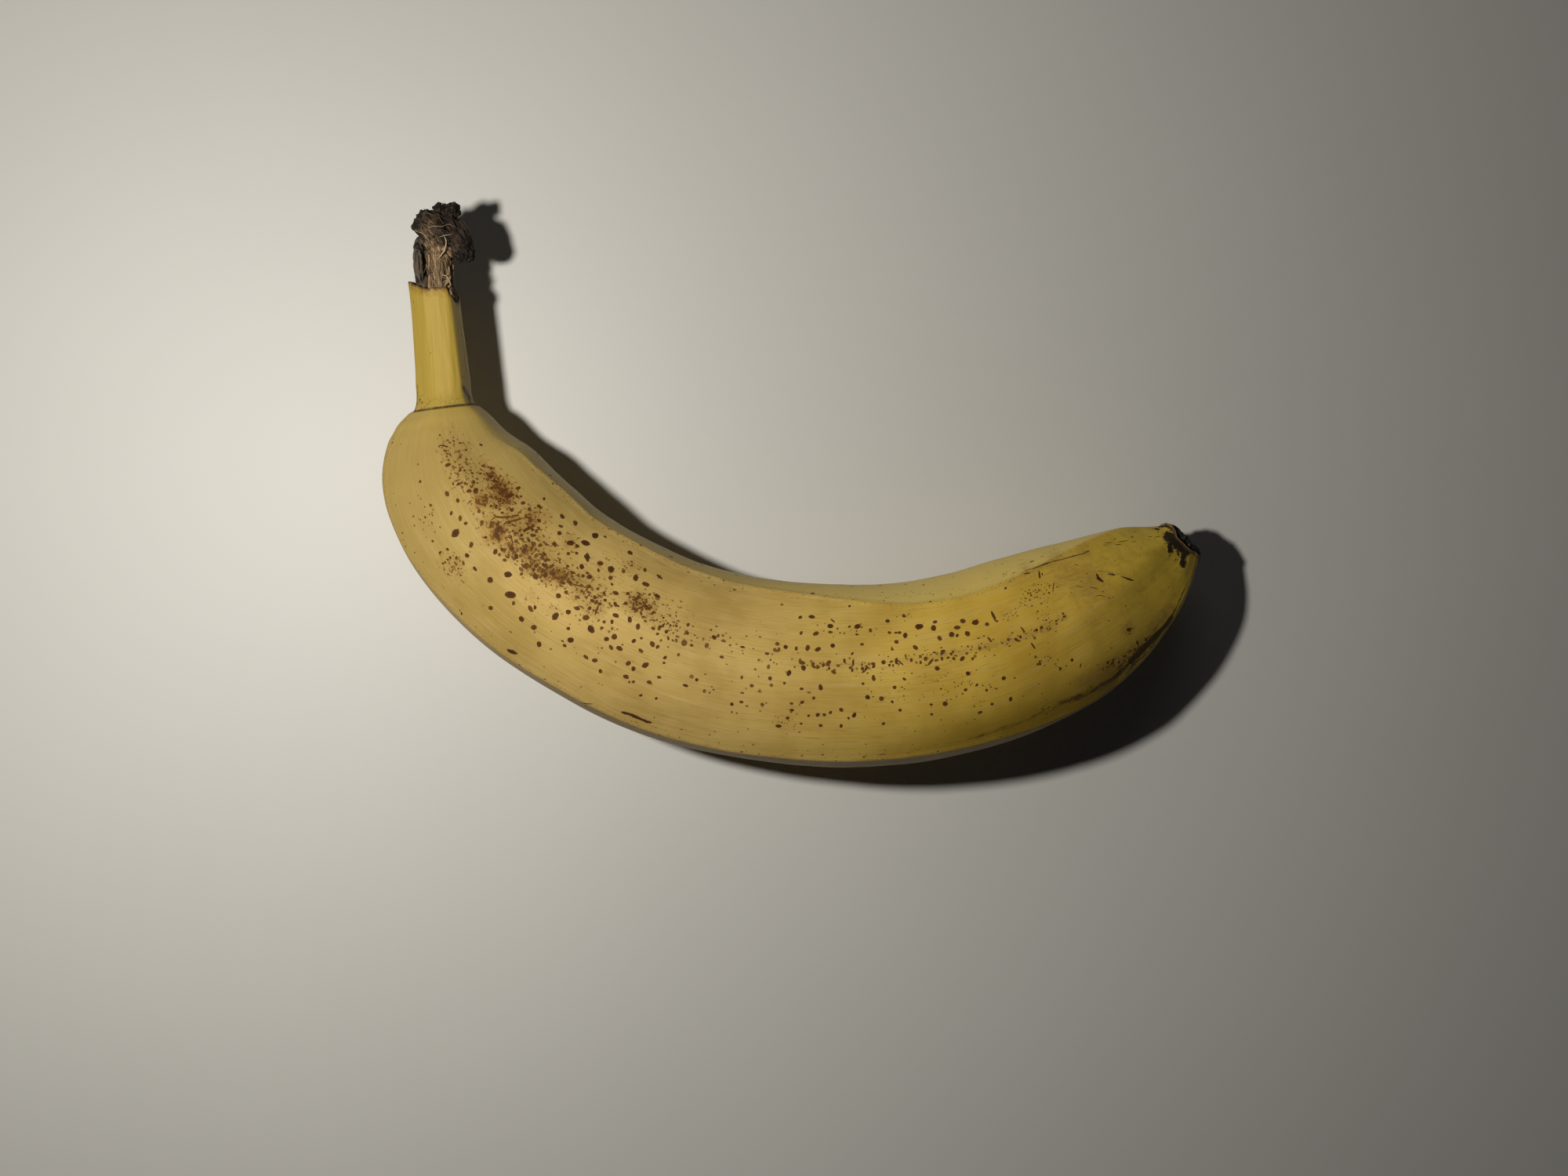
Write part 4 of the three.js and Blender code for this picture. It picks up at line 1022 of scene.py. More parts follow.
def grain_map(piece):
    """A UV map in millimetres that follows the fibres: distance along, and angle times the body's
    radius. At the seam under the fruit the angle runs on past its last side."""
    rings, sides = peel_along.shape
    ring, side = np.mgrid[0 : rings - 1, 0:sides]
    u = np.stack([ring, ring + 1, ring + 1, ring], axis=-1)
    v = np.stack([side, side, side + 1, side + 1], axis=-1)
    turned = angle_grid[u, v % sides] + 360 * (v >= sides)
    quads = np.stack([peel_along[u, v % sides], np.radians(turned) * BODY_RADIUS], axis=-1)
    side = np.arange(sides)
    fans = []
    for ring, order in ((0, (None, 0, 1)), (rings - 1, (0, None, 1))):
        for shift in order:
            turn = side + (0.5 if shift is None else shift)
            across = np.radians(turn * 360 / sides) * BODY_RADIUS
            fans.append(np.stack([0 * turn + peel_along[ring].mean(), across], -1))
    ends = np.stack([np.stack(fans[:3], axis=1), np.stack(fans[3:], axis=1)]).reshape(-1, 2)
    values = np.concatenate([quads.reshape(-1, 2), ends]).astype(np.float32)
    piece.data.uv_layers.new(name="grain").data.foreach_set("uv", values.ravel())


grain_map(peel)
bold = [np.concatenate(pair) for pair in zip(spot_marks(), stroke_marks())]
store_marks(peel, "spots", bold)
store_marks(peel, "flecks", fleck_marks())

# %% [markdown]
# ## Shader sums in Python
#
# A material is a graph of nodes, and a graph built node by node is hard to read. Two small
# classes make it readable. A Wire is one socket and knows Python's operators, so that
# 1 - mask * 0.5 adds its own Math nodes. A Bench is one material, and one of its methods adds
# every other kind of node: settings first, then what goes into the sockets.

# %% Wires and benches
class Wire:
    """One output socket of a material's graph. Sums with it add Math nodes."""

    def __init__(self, bench, socket):
        self.bench = bench
        self.socket = socket

    def maths(self, operation, left, right):
        return self.bench.node("ShaderNodeMath", {"operation": operation}, {0: left, 1: right})

    def __add__(self, other):
        return self.maths("ADD", self, other)

    def __radd__(self, other):
        return self.maths("ADD", other, self)

    def __sub__(self, other):
        return self.maths("SUBTRACT", self, other)

    def __rsub__(self, other):
        return self.maths("SUBTRACT", other, self)

    def __mul__(self, other):
        return self.maths("MULTIPLY", self, other)

    def __rmul__(self, other):
        return self.maths("MULTIPLY", other, self)

    def larger(self, other):
        return self.maths("MAXIMUM", self, other)


class Bench:
    """The nodes of one material."""

    def __init__(self, name):
        self.material = bpy.data.materials.new(name)
        self.material.use_nodes = True
        self.tree = self.material.node_tree
        self.tree.nodes.clear()

    def node(self, kind, settings=(), sockets=(), out=0):
        """Adds a node of a kind. settings are its own properties, sockets its inputs by name or
        number, each given a wire or a value. Gives the output called out as a wire."""
        made = self.tree.nodes.new(kind)
        for name, value in dict(settings).items():
            setattr(made, name, value)
        for name, value in dict(sockets).items():
            if isinstance(value, Wire):
                self.tree.links.new(value.socket, made.inputs[name])
            else:
                made.inputs[name].default_value = value
        return Wire(self, made.outputs[out]) if made.outputs else None

    def value(self, name):
        """A number that the mesh carries."""
        return self.node("ShaderNodeAttribute", {"attribute_name": name}, out="Fac")

    def on_piece(self, size):
        """Places on the piece, measured in steps of a size in millimetres."""
        metres = self.node("ShaderNodeTexCoord", out="Object")
        return self.node("ShaderNodeMapping", (), {"Vector": metres, "Scale": [1000 / size] * 3})

    def along_fibres(self, length, width, shift=0.0):
        """Places on the grain map, measured in steps of a length along the fruit and of a width
        across it."""
        grain = self.node("ShaderNodeUVMap", {"uv_map": "grain"})
        scale = (1 / length, 1 / width, 1)
        sockets = {"Vector": grain, "Scale": scale, "Location": (shift, shift, 0)}
        return self.node("ShaderNodeMapping", (), sockets)

    def cloud(self, at, detail, roughness):
        """Noise from 0 to 1. at says where it is read: places with a step of one to a lump, or
        just the size of a lump in millimetres."""
        at = at if isinstance(at, Wire) else self.on_piece(at)
        sockets = {"Vector": at, "Scale": 1.0, "Detail": detail, "Roughness": roughness}
        return self.node("ShaderNodeTexNoise", (), sockets, "Fac")

    def soft(self, value, low, high, start=0.0, stop=1.0):
        """start where the value is under low, stop where it is over high, eased between."""
        sockets = {"Value": value, "From Min": low, "From Max": high, "To Min": start, "To Max": stop}
        return self.node("ShaderNodeMapRange", {"interpolation_type": "SMOOTHSTEP"}, sockets)

    def blend(self, amount, first, second):
        """The first colour where the amount is 0, the second where it is 1."""
        colours = [c if isinstance(c, Wire) else (*c, 1) for c in (first, second)]
        settings = {"data_type": "RGBA", "clamp_factor": True}
        return self.node("ShaderNodeMix", settings, {0: amount, 6: colours[0], 7: colours[1]}, 2)

    def bump(self, height, millimetres):
        """A bump as deep as the millimetres given where the height goes from 0 to 1."""
        sockets = {"Height": height, "Distance": millimetres / 1000, "Strength": 1.0}
        return self.node("ShaderNodeBump", (), sockets)

    def finish(self, piece, **inputs):
        """Ends the material in the main shader and puts it on the piece."""
        names = {key.replace("_", " "): value for key, value in inputs.items()}
        shader = self.node("ShaderNodeBsdfPrincipled", (), names)
        self.node("ShaderNodeOutputMaterial", (), {"Surface": shader})
        piece.data.materials.clear()
        piece.data.materials.append(self.material)
        print(f"{self.material.name}: {len(self.tree.nodes)} nodes")


# %% [markdown]
# ## The peel's material
#
# The skin is looked at as layers, and the material lays them in the same order: the yellow with
# its fine fibres, green where it isn't quite ripe, grey-olive painted shade on the under side and
# the inner face with paler painted light on the far half, the brown haze of bruises, rubbed edges
# partly painted as shadow, and last the spots, which cover all of it. Each layer is one blend of two
# colours by a mask, so any of them can be changed alone. The skin is waxy: a half gloss that
# the spots break, as they are dry.

# %% Colours of the skin
YELLOW = (0.57, 0.395, 0.120)
OCHRE = (0.43, 0.280, 0.072)
PALE = (0.68, 0.50, 0.21)
DEEP_YELLOW = (0.71, 0.475, 0.066)
DEEP_OCHRE = (0.54, 0.335, 0.036)
SHOULDER = (0.34, 0.243, 0.070)
FIBRE = (0.30, 0.185, 0.032)
STALK = (0.36, 0.252, 0.045)
UNRIPE = (0.74, 0.52, 0.052)
DRIED = (0.46, 0.305, 0.042)
# olive for real mottles and for painted shade on the lower outer face
OLIVE_MOTTLE_SHADE = (0.26, 0.165, 0.012)
# painted shade for the under side and the inner face, and paler painted light for the far half
SIDE_SHADE_OLIVE = (0.44, 0.32, 0.055)
SIDE_PALE_LIGHT = (0.74, 0.56, 0.145)
HAZE = (0.21, 0.100, 0.018)
HAZE_PALE = (0.34, 0.20, 0.048)
# grey-brown painted shade for the face below the outer edge
SHADE_GREY_BROWN = (0.180, 0.112, 0.026)
BARK = (0.080, 0.046, 0.020)
PEPPER = (0.10, 0.070, 0.034)
SPOT = (0.078, 0.027, 0.006)
SPOT_RIM = (0.165, 0.070, 0.010)
SPOT_CORE = (0.044, 0.018, 0.006)
SCORCH = (0.014, 0.011, 0.008)
LIP_TAN = (0.20, 0.125, 0.075)
SHINE, SHINE_TINT = 0.4, (1.0, 0.78, 0.48, 1.0)
WAXY, LESS_WAXY, DRY = 0.44, 0.14, 0.24  # roughness of the wax, and more in streaks and marks
SKIN_BUMP = 0.06  # mm


# %% Layers of the skin
def fibre_masks(bench):
    """Lines along the fruit, fine and broad: noise that is stretched 30 and 15 times."""
    fine = bench.cloud(bench.along_fibres(9, 0.28), 3, 0.6)
    broad = bench.cloud(bench.along_fibres(22, 1.6, 5.2), 2, 0.5)
    return fine, broad


def mark_mask(bench, name, ragged):
    """1 inside the marks of a map, 0 outside: the distance from the mark's middle in its own half
    sizes, made uneven by noise, and cut off softly at one."""
    measure = bench.node("ShaderNodeUVMap", {"uv_map": name})
    distance = bench.node("ShaderNodeVectorMath", {"operation": "LENGTH"}, {0: measure}, "Value")
    wander = bench.cloud(0.5, 4, 0.7)
    distance = distance + (wander - 0.5) * ragged
    return bench.soft(distance, 1.06, 0.94), bench.soft(distance, 0.85, 0.25)


def skin_colour(bench, fine, broad):
    """Yellow, varied in patches and lines, then greener and darker by place, with painted shade on
    the under side, the inner face and the lower outer face, and paler painted light on the inner
    face of the far half.
    """
    patches = bench.cloud(14, 3, 0.55)
    along = bench.value("along")
    deep = bench.soft(along, 105, 175)
    yellow = bench.blend(deep, YELLOW, DEEP_YELLOW)
    ochre = bench.blend(deep, OCHRE, DEEP_OCHRE)
    stalk = bench.soft(along, NECK + 2, NECK - 2)
    colour = bench.blend(bench.soft(patches, 0.35, 0.70) * 0.8, yellow, ochre)
    colour = bench.blend(bench.soft(along, 85, 38) * 0.75, colour, SHOULDER)
    colour = bench.blend(stalk, colour, STALK)
    plain = (1 - 0.7 * stalk) * bench.soft(along, NECK + 4, NECK + 40, 0.5, 1.0)
    colour = bench.blend(bench.soft(broad, 0.50, 0.80) * plain * 0.25, colour, PALE)
    colour = bench.blend(bench.soft(fine, 0.50, 0.66) * plain * 0.28, colour, PALE)
    colour = bench.blend(bench.soft(fine, 0.48, 0.34) * plain * 0.40, colour, ochre)
    lines = bench.cloud(bench.along_fibres(6, 0.24, 4.4), 2, 0.6)
    where = bench.cloud(bench.along_fibres(12, 4, 6.6), 2, 0.5)
    lines = bench.soft(lines, 0.57, 0.68) * bench.soft(where, 0.40, 0.62, 0.25, 1.0)
    colour = bench.blend(lines * plain * 0.55, colour, FIBRE)
    # olive mottles with painted shade on the lower outer face of the far half
    mottled_shade = bench.value("low") * bench.soft(patches + (fine - 0.5) * 0.6, 0.25, 0.65, 0.5, 0.95)
    colour = bench.blend(mottled_shade, colour, OLIVE_MOTTLE_SHADE)
    green = bench.soft(along, 190, 212) * 0.8 + bench.soft(along, 34, 22) * 0.12
    colour = bench.blend(green, colour, UNRIPE)
    parched = bench.cloud(2.2, 5, 0.7)
    parched = bench.soft(parched, 0.42, 0.70) * bench.soft(along, 180, 206)
    colour = bench.blend(parched * 0.60, colour, DRIED)
    # the under side and the inner face: grey-olive painted shade near the stalk, paler painted light towards
    # the blossom end
    side_shading = bench.value("inner").larger(bench.value("under") * 0.5) * (1 - stalk)
    shade = bench.blend(bench.soft(along, 100, 150), SIDE_SHADE_OLIVE, SIDE_PALE_LIGHT)
    return bench.blend(side_shading * bench.soft(patches, 0.20, 0.60, 0.60, 0.90), colour, shade)


def worn_colour(bench, colour, fine):
    """Bruises as haze that is drawn out along the fibres, then the rubbed edges, partly painted
    shadow, and under them the outer face in grey-brown painted shade."""
    streaks = bench.cloud(bench.along_fibres(2.6, 0.8, 2.7), 4, 0.65)
    mottle = bench.cloud(1.3, 3, 0.6)
    bruise = bench.value("bruise")
    depth = bruise * 1.15 + (streaks - 0.5) * 0.55 + (mottle - 0.5) * 0.55
    in_bruise = bench.soft(bruise, 0.03, 0.22)
    colour = bench.blend(bench.soft(depth, 0.10, 0.55) * in_bruise * 0.60, colour, HAZE_PALE)
    haze = bench.soft(depth, 0.42, 0.86) * in_bruise
    colour = bench.blend(haze * 0.85, colour, HAZE)
    clots = bench.cloud(bench.along_fibres(0.95, 0.75, 7.7), 3, 0.6)
    clots = clots + bruise * 0.21 - bench.soft(bench.value("along"), 115, 140) * 0.3
    colour = bench.blend(bench.soft(clots, 0.625, 0.660) * in_bruise * 0.7, colour, SPOT_RIM)
    colour = bench.blend(bench.soft(clots, 0.675, 0.700) * in_bruise * 0.85, colour, SPOT)
    grit = bench.cloud(bench.along_fibres(0.9, 0.35, 8.1), 3, 0.7)
    # the face below the outer edge, turned from the lamp: grey-brown painted shade, streaked
    below = bench.value("below")
    colour = bench.blend(below * bench.soft(streaks, 0.25, 0.60, 0.35, 0.75), colour, SHADE_GREY_BROWN)
    # scuffs and painted shadow along the outer edge, and painted shade at the stalk's right foot
    scuff_and_shade = bench.value("scuff_and_shade")
    rubbed = bench.soft(scuff_and_shade + (streaks - 0.5) * 0.9 + (grit - 0.5) * 0.8, 0.30, 0.62)
    rubbed = rubbed * bench.soft(scuff_and_shade, 0.03, 0.2)
    dark = bench.soft(scuff_and_shade, 0.45, 0.75)
    colour = bench.blend(rubbed * 0.9, colour, bench.blend(dark, BARK, SCORCH))
    edge = bench.value("edge")
    pepper = bench.cloud(0.42, 3, 0.7)
    colour = bench.blend(edge * bench.soft(grit, 0.50, 0.80) * 0.35, colour, HAZE_PALE)
    colour = bench.blend(edge * bench.soft(pepper + edge * 0.1, 0.64, 0.70) * 0.4, colour, PEPPER)
    return bench.blend(bench.soft(fine, 0.40, 0.15) * 0.12, colour, BARK)


def ends_colour(bench, colour):
    """The crease under the stalk and the sides of its foot painted dark as shade, with pepper at
    the foot, then the browned rim and the dark blossom end.
    """
    along, side = bench.value("form_along"), bench.value("side")
    break_up = bench.cloud(1.1, 4, 0.7)
    # the thin dark line in the crease under the stalk: painted shade
    line = bench.soft(along, NECK - 0.38, NECK - 0.05) * bench.soft(along, NECK + 0.42, NECK + 0.12)
    line = line * bench.soft(break_up, 0.30, 0.55, 0.45, 1.0)
    pepper = bench.cloud(0.32, 3, 0.75)
    foot = bench.soft(along, NECK - 3.4, NECK - 0.2) * bench.soft(along, NECK + 0.3, NECK)
    foot = foot * bench.soft(pepper + (break_up - 0.5) * 0.5, 0.52, 0.66) * 0.75
    # the sides of the stalk's foot painted darker: painted shade
    corner = bench.soft(along, NECK - 4.2, NECK - 0.8) * bench.soft(along, NECK + 0.4, NECK)
    corner = corner * bench.soft(side + (break_up - 0.5) * 0.5, 0.86, 1.0) * 0.8
    crease = line.larger(foot).larger(corner)
    colour = bench.blend(crease, colour, BARK)
    ring = bench.value("rim")
    colour = bench.blend(bench.soft(ring + break_up * 3.0, 3.6, 1.6) * 0.7, colour, HAZE)
    colour = bench.blend(bench.soft(ring + break_up * 1.6, 1.5, 0.7), colour, BARK)
    blotch = bench.cloud(0.62, 4, 0.75)
    scorch = bench.value("scorch")
    tip = bench.soft(scorch + (blotch - 0.5) * 2.0, 0.36, 0.46) * bench.soft(scorch, 0.04, 0.2)
    halo = bench.soft(scorch + (blotch - 0.5) * 1.5, 0.20, 0.42) * bench.soft(scorch, 0.02, 0.2)
    colour = bench.blend(halo * 0.7, colour, BARK)
    colour = bench.blend(tip * 0.95, colour, SCORCH)
    browned = bench.soft(ring + (blotch - 0.5) * 1.6, BLOSSOM_END - 0.9, BLOSSOM_END - 0.35)
    colour = bench.blend(browned * 0.85, colour, BARK)
    lip = bench.soft(ring, BLOSSOM_END - 0.17, BLOSSOM_END - 0.07)
    colour = bench.blend(lip * bench.soft(blotch, 0.3, 0.5, 0.55, 1.0), colour, LIP_TAN)
    past = bench.soft(ring, BLOSSOM_END + 0.06, BLOSSOM_END + 0.13)
    return bench.blend(past, colour, SCORCH), crease, tip


def paint_peel(piece):
    """The whole skin: its colours, and a height from the same masks for the bump."""
    bench = Bench("banana peel")
    fine, broad = fibre_masks(bench)
    colour = skin_colour(bench, fine, broad)
    colour = worn_colour(bench, colour, fine)
    colour, crease, tip = ends_colour(bench, colour)
    spots, cores = mark_mask(bench, "spots", 0.85)
    flecks, _ = mark_mask(bench, "flecks", 0.6)
    tone = bench.value("spots_tone")
    fleck_tone = bench.value("flecks_tone")
    fleck_colour = bench.blend(fleck_tone, SPOT_RIM, SPOT)
    colour = bench.blend(flecks * (0.6 + 0.4 * fleck_tone), colour, fleck_colour)
    colour = bench.blend(spots, colour, bench.blend(tone, SPOT_RIM, SPOT))
    colour = bench.blend(cores * spots * bench.soft(tone, 0.55, 1.0) * 0.8, colour, SPOT_CORE)
    marks = spots.larger(flecks)
    pores = bench.cloud(0.7, 2, 0.6)
    relief_mask = fine * 0.35 + broad * 0.5 + pores * 0.25 - marks * 0.35
    normal = bench.bump(relief_mask, SKIN_BUMP)
    dry = marks.larger(bench.soft(bench.value("bruise"), 0.1, 0.5)).larger(tip.larger(crease))
    roughness = WAXY + LESS_WAXY * broad + DRY * dry
    shine = {"Specular_IOR_Level": SHINE, "Specular_Tint": SHINE_TINT}
    bench.finish(piece, Base_Color=colour, Roughness=roughness, Normal=normal, **shine)


paint_peel(peel)

# %% [markdown]
# ## The dry crown
#
# Where the fruit was torn off its bunch, a stub of dead tissue stays on the stalk: a column of
# brown fibres, a strip of bark beside it, and on top a black crumpled cap that hangs over to one
# side. Such a shape has no formula of its own. It could be sculpted by hand. Here it is put
# together from a few closed lumps that run into each other, a voxel remesh draws one skin round
# them all, and then noise pushes that skin in and out: folds, torn ends, and grooves that follow
# the way the fibres lie.

# %% Lumps of the crown
# middle, half sizes, turn about the vertical, pitch, crumple, seed
CROWN_LUMPS = [
    ((-75.4, 77.4, 21.2), (4.0, 3.3, 4.1), -25, 0, 0.08, 31),  # the cap's left half
    ((-70.4, 74.9, 20.6), (5.3, 2.8, 3.7), -62, 6, 0.06, 32),  # the slab that hangs over
    ((-68.8, 72.1, 20.0), (2.3, 1.9, 2.9), 10, 0, 0.10, 33),  # its lower corner
    ((-72.9, 75.6, 24.2), (2.4, 1.5, 1.1), -64, 8, 0.08, 34),  # a tongue on top of the cap
    ((-73.9, 81.3, 22.6), (1.2, 0.9, 1.8), 20, 0, 0.18, 35),  # two knobs at the top
    ((-71.1, 81.0, 21.8), (1.4, 1.5, 2.4), 60, 0, 0.14, 36),
    ((-72.4, 79.4, 21.0), (1.7, 1.3, 2.2), 0, 0, 0.10, 43),  # what they sit on
    ((-78.7, 78.0, 21.9), (1.7, 0.7, 2.2), 62, 0, 0.12, 37),  # the curl on the left
    ((-78.2, 69.6, 20.5), (5.7, 1.25, 3.1), 93, 0, 0.05, 38),  # the strip of bark
    ((-76.9, 69.0, 19.2), (5.5, 1.2, 2.6), 92, 0, 0.05, 39),  # what joins it to the column
    ((-76.9, 74.6, 20.6), (1.2, 1.2, 2.4), 100, 0, 0.08, 42),
    ((-71.3, 63.4, 20.6), (2.0, 0.8, 2.3), -56, 0, 0.14, 40),  # the dark tear right of the rim
    ((-72.0, 65.6, 22.9), (1.4, 0.45, 0.8), 60, 0, 0.12, 41),  # a flap that curls up
]
BOXY = 0.82  # under 1, a lump is fuller than an ellipsoid
LUMP_RINGS, LUMP_SIDES = 44, 64
COLUMN_RINGS, COLUMN_SIDES = 60, 90
# the column: x, y, z and half thickness of its rings
COLUMN = [
    (-74.9, 59.5, 20.0, 3.8),
    (-74.6, 63.0, 20.1, 3.7),
    (-74.4, 66.5, 20.3, 3.3),
    (-74.2, 70.0, 20.5, 3.0),
    (-74.2, 73.5, 20.8, 3.2),
    (-74.0, 76.5, 21.0, 3.0),
]
VOXEL = 0.15  # mm


def lump_rings(middle, half, turn, pitch, crumple, seed):
    """A closed lump: unit directions in rings from its front to its back, each as far out as 1
    plus noise of the direction, with its x, y and z raised to a power under 1 to fill its corners,
    then stretched by the half sizes, pitched and turned."""
    polar = np.linspace(4, 176, LUMP_RINGS)
    polar, round_it = np.meshgrid(polar, even_angles(LUMP_SIDES), indexing="ij")
    way = place(cosine(polar), sine(polar) * cosine(round_it), sine(polar) * sine(round_it))
    out = 1 + crumple * rough(1.7 * way + seed, 3, seed)
    way = np.sign(way) * np.abs(way) ** BOXY
    x, y, z = np.moveaxis(way * out[..., None] * half, -1, 0)
    x, z = x * cosine(pitch) - z * sine(pitch), x * sine(pitch) + z * cosine(pitch)
    x, y = x * cosine(turn) - y * sine(turn), x * sine(turn) + y * cosine(turn)
    return place(x, y, z) + middle


def column_rings():
    """The column of fibres: round rings across a bent line, whose width wavers a little."""
    x, y, z, thick = np.array(COLUMN).T
    steps = np.linspace(y[0], y[-1], COLUMN_RINGS)
    turn = even_angles(COLUMN_SIDES)
    x, z, thick = (np.interp(steps, y, row)[:, None] for row in (x, z, thick))
    wave = 1 + 0.05 * noise(circle(1.5, turn, steps[:, None] / 5), 44)
    width = thick * wave
    return place(x - width * cosine(turn), steps[:, None] + 0 * turn, z + width * sine(turn))


def fuse(name, stacks, voxel):
    """One skin round surfaces that run into each other: a voxel remesh, applied to the mesh."""
    lumps = stack_mesh(name + "_lumps", stacks)
    remesh = lumps.modifiers.new("fuse", "REMESH")
    remesh.mode = "VOXEL"
    remesh.voxel_size = voxel / 1000
    solved = lumps.evaluated_get(bpy.context.evaluated_depsgraph_get())
    piece = bpy.data.objects.new(name, bpy.data.meshes.new_from_object(solved))
    bpy.context.scene.collection.objects.link(piece)
    bpy.data.objects.remove(lumps)
    print(f"{name}: fused to {len(piece.data.polygons)} faces")
    return piece


# %% Which way the fibres lie, and how the skin is torn
CROWN_MIDDLE = (-75, 71, 20)
# middle in plan, direction in degrees, reach: the lie of the fibres round about
LIES = [
    (-78.8, 69.0, 91, 2.0),
    (-74.6, 66.0, 96, 3.0),
    (-75.6, 75.0, -52, 2.2),
    (-70.5, 75.5, -55, 3.0),
    (-75.0, 80.0, -20, 2.6),
    (-71.3, 63.4, -56, 1.2),
]


def lie_of(points):
    """Unit arrows in plan: the mean of the directions listed, weighted by how near each is."""
    lie = np.zeros((len(points), 2))
    for x, y, way, reach in LIES:
        weight = np.exp(-((points[:, 0] - x) ** 2 + (points[:, 1] - y) ** 2) / reach**2) + 1e-9
        lie += weight[:, None] * (cosine(way), sine(way))
    return unit(lie)


def ridges(points, octaves, seed):
    """Sharp folds from 0 to 1: 1 where noise crosses zero, falling away on both sides."""
    folds = sum((1 - np.abs(noise(points * 2**n, seed + n))) ** 2 / 2**n for n in range(octaves))
    return folds / (2 - 0.5 ** (octaves - 1))


def combed(points, length, width, seed):
    """Noise drawn out along the lie of the fibres, by length over width. Places are measured from
    the crown's middle, so that a small change of the lie moves the pattern little."""
    lie = lie_of(points)
    x, y, z = (points - CROWN_MIDDLE).T
    along = x * lie[:, 0] + y * lie[:, 1]
    across = y * lie[:, 0] - x * lie[:, 1]
    return rough(place(along / length, across / width, z / width), 3, seed)


def groove(points, start, stop, width, depth):
    """Depth of a groove between two places in plan: a bell of the distance from the line."""
    start, stop = np.array(start), np.array(stop)
    leg = stop - start
    t = np.clip(((points[:, :2] - start) @ leg) / (leg @ leg), 0, 1)
    apart = np.linalg.norm(points[:, :2] - start - t[:, None] * leg, axis=-1)
    return depth * bell(apart, width)


stub = fuse("crown_stub", [lump_rings(*row) for row in CROWN_LUMPS] + [column_rings()], VOXEL)
stub_points = read_points(stub, "co") * 1000
stub_normals = read_points(stub, "normal")
x, y, z = stub_points.T
bark = ease(-76.7, -77.3, x) * ease(76.0, 74.8, y)
column_face = ease(74.3, 73.0, y + 0.35 * (x + 74)) * (1 - bark) * ease(-70.4, -71.6, x)
torn = 0.9 * np.exp(-(((x + 76.0) / 1.8) ** 2) - ((y - 75.6) / 1.8) ** 2)
fibrous = np.maximum(np.maximum(column_face, torn), bark)
strands = combed(stub_points, 5.0, 0.42, 51)
folds = ridges(stub_points / 3.0, 3, 55)
crust = rough(stub_points / 0.8, 2, 59)
sunk = groove(stub_points, (-76.75, 62.5), (-76.6, 72.8), 0.35, 1.3)
sunk += groove(stub_points, (-76.6, 78.3), (-74.6, 78.9), 0.45, 0.8)
sunk += groove(stub_points, (-70.9, 79.9), (-68.0, 74.8), 0.30, 0.5)
push = 0.24 * strands * (0.75 + 0.25 * fibrous) + 1.1 * (folds - 0.62) * (1 - 0.82 * fibrous)
push += 0.09 * crust - sunk * (stub_normals[:, 2] > 0)
buried = ease(RIM_MIDDLE + 61.5, RIM_MIDDLE + 65.0, y)
stub_points += stub_normals * (push * buried)[:, None]
stub.data.vertices.foreach_set("co", ((stub_points + ORIGIN) / 1000).astype(np.float32).ravel())
stub.data.polygons.foreach_set("use_smooth", np.ones(len(stub.data.polygons), bool))
stub.data.update()
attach(stub, "root")
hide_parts("banana")
print(f"the crown's skin moved {push.min():.2f} to {push.max():.2f} mm")

# %% [markdown]
# ## Loose fibres
#
# Where the tissue dried out, its fibres hang free: a comb of fine straw-coloured strands on the
# column and a few curls that catch the light. Hair curves would be the usual way, but they don't
# become a mesh that can be printed or exported. So each strand is a thin tapered tube, worked out
# as rings round a curved line, and all of them are one mesh.

# %% Strands laid on the crown
# the curls that stand out: points in plan with heights above the crown's skin, then thickness
CURL_A = [(-79.3, 77.2, 0.0), (-78.6, 76.3, 0.5), (-77.3, 75.7, 0.9), (-76.2, 74.9, 0.6), (-75.6, 73.6, 0.3)]
CURL_B = [(-73.5, 74.6, 0.1), (-72.4, 75.0, 0.5), (-71.3, 75.2, 0.5), (-70.4, 75.7, 0.1)]
CURL_C = [(-72.4, 75.0, 0.2), (-71.9, 73.8, 0.9), (-72.3, 72.3, 1.2), (-73.2, 70.9, 0.9), (-74.2, 69.8, 0.3)]
CURL_D = [(-76.2, 76.6, 0.2), (-74.6, 77.0, 0.4), (-72.9, 77.0, 0.4), (-71.7, 77.7, 0.3), (-70.9, 77.4, 0.1)]
CURL_E = [(-73.6, 80.9, 0.0), (-73.0, 82.2, 0.3), (-72.6, 82.9, 0.2)]
CURL_F = [(-73.2, 66.9, 0.2), (-72.1, 66.6, 0.8), (-71.4, 65.2, 0.8), (-71.9, 63.8, 0.3)]
CURLS = [(CURL_A, 0.06), (CURL_B, 0.06), (CURL_C, 0.14), (CURL_D, 0.05), (CURL_E, 0.06), (CURL_F, 0.12)]
# how many, palest, then: middle in plan, spread in plan, direction, its spread, length, thickness
BUNDLES = [
    (200, 0.90, (-74.3, 68.0), (1.35, 3.0), 95, 10, 3.4, 0.038),  # the comb on the column
    (60, 0.95, (-73.2, 66.6), (0.9, 1.6), 95, 45, 1.5, 0.035),  # frizz on its right side
    (30, 0.45, (-75.7, 75.7), (0.75, 0.85), -54, 9, 2.8, 0.075),  # torn strands under the cap
    (26, 0.80, (-75.2, 73.6), (0.9, 0.6), -70, 20, 2.0, 0.055),
    (34, 0.16, (-70.2, 75.3), (1.1, 2.2), -58, 8, 3.4, 0.036),  # fine lines on the slab
    (50, 0.34, (-75.4, 78.2), (1.7, 1.3), -38, 16, 2.4, 0.040),  # and on the cap
]
STRAND_SIDES, STRAND_POINTS, CURL_POINTS = 6, 14, 28
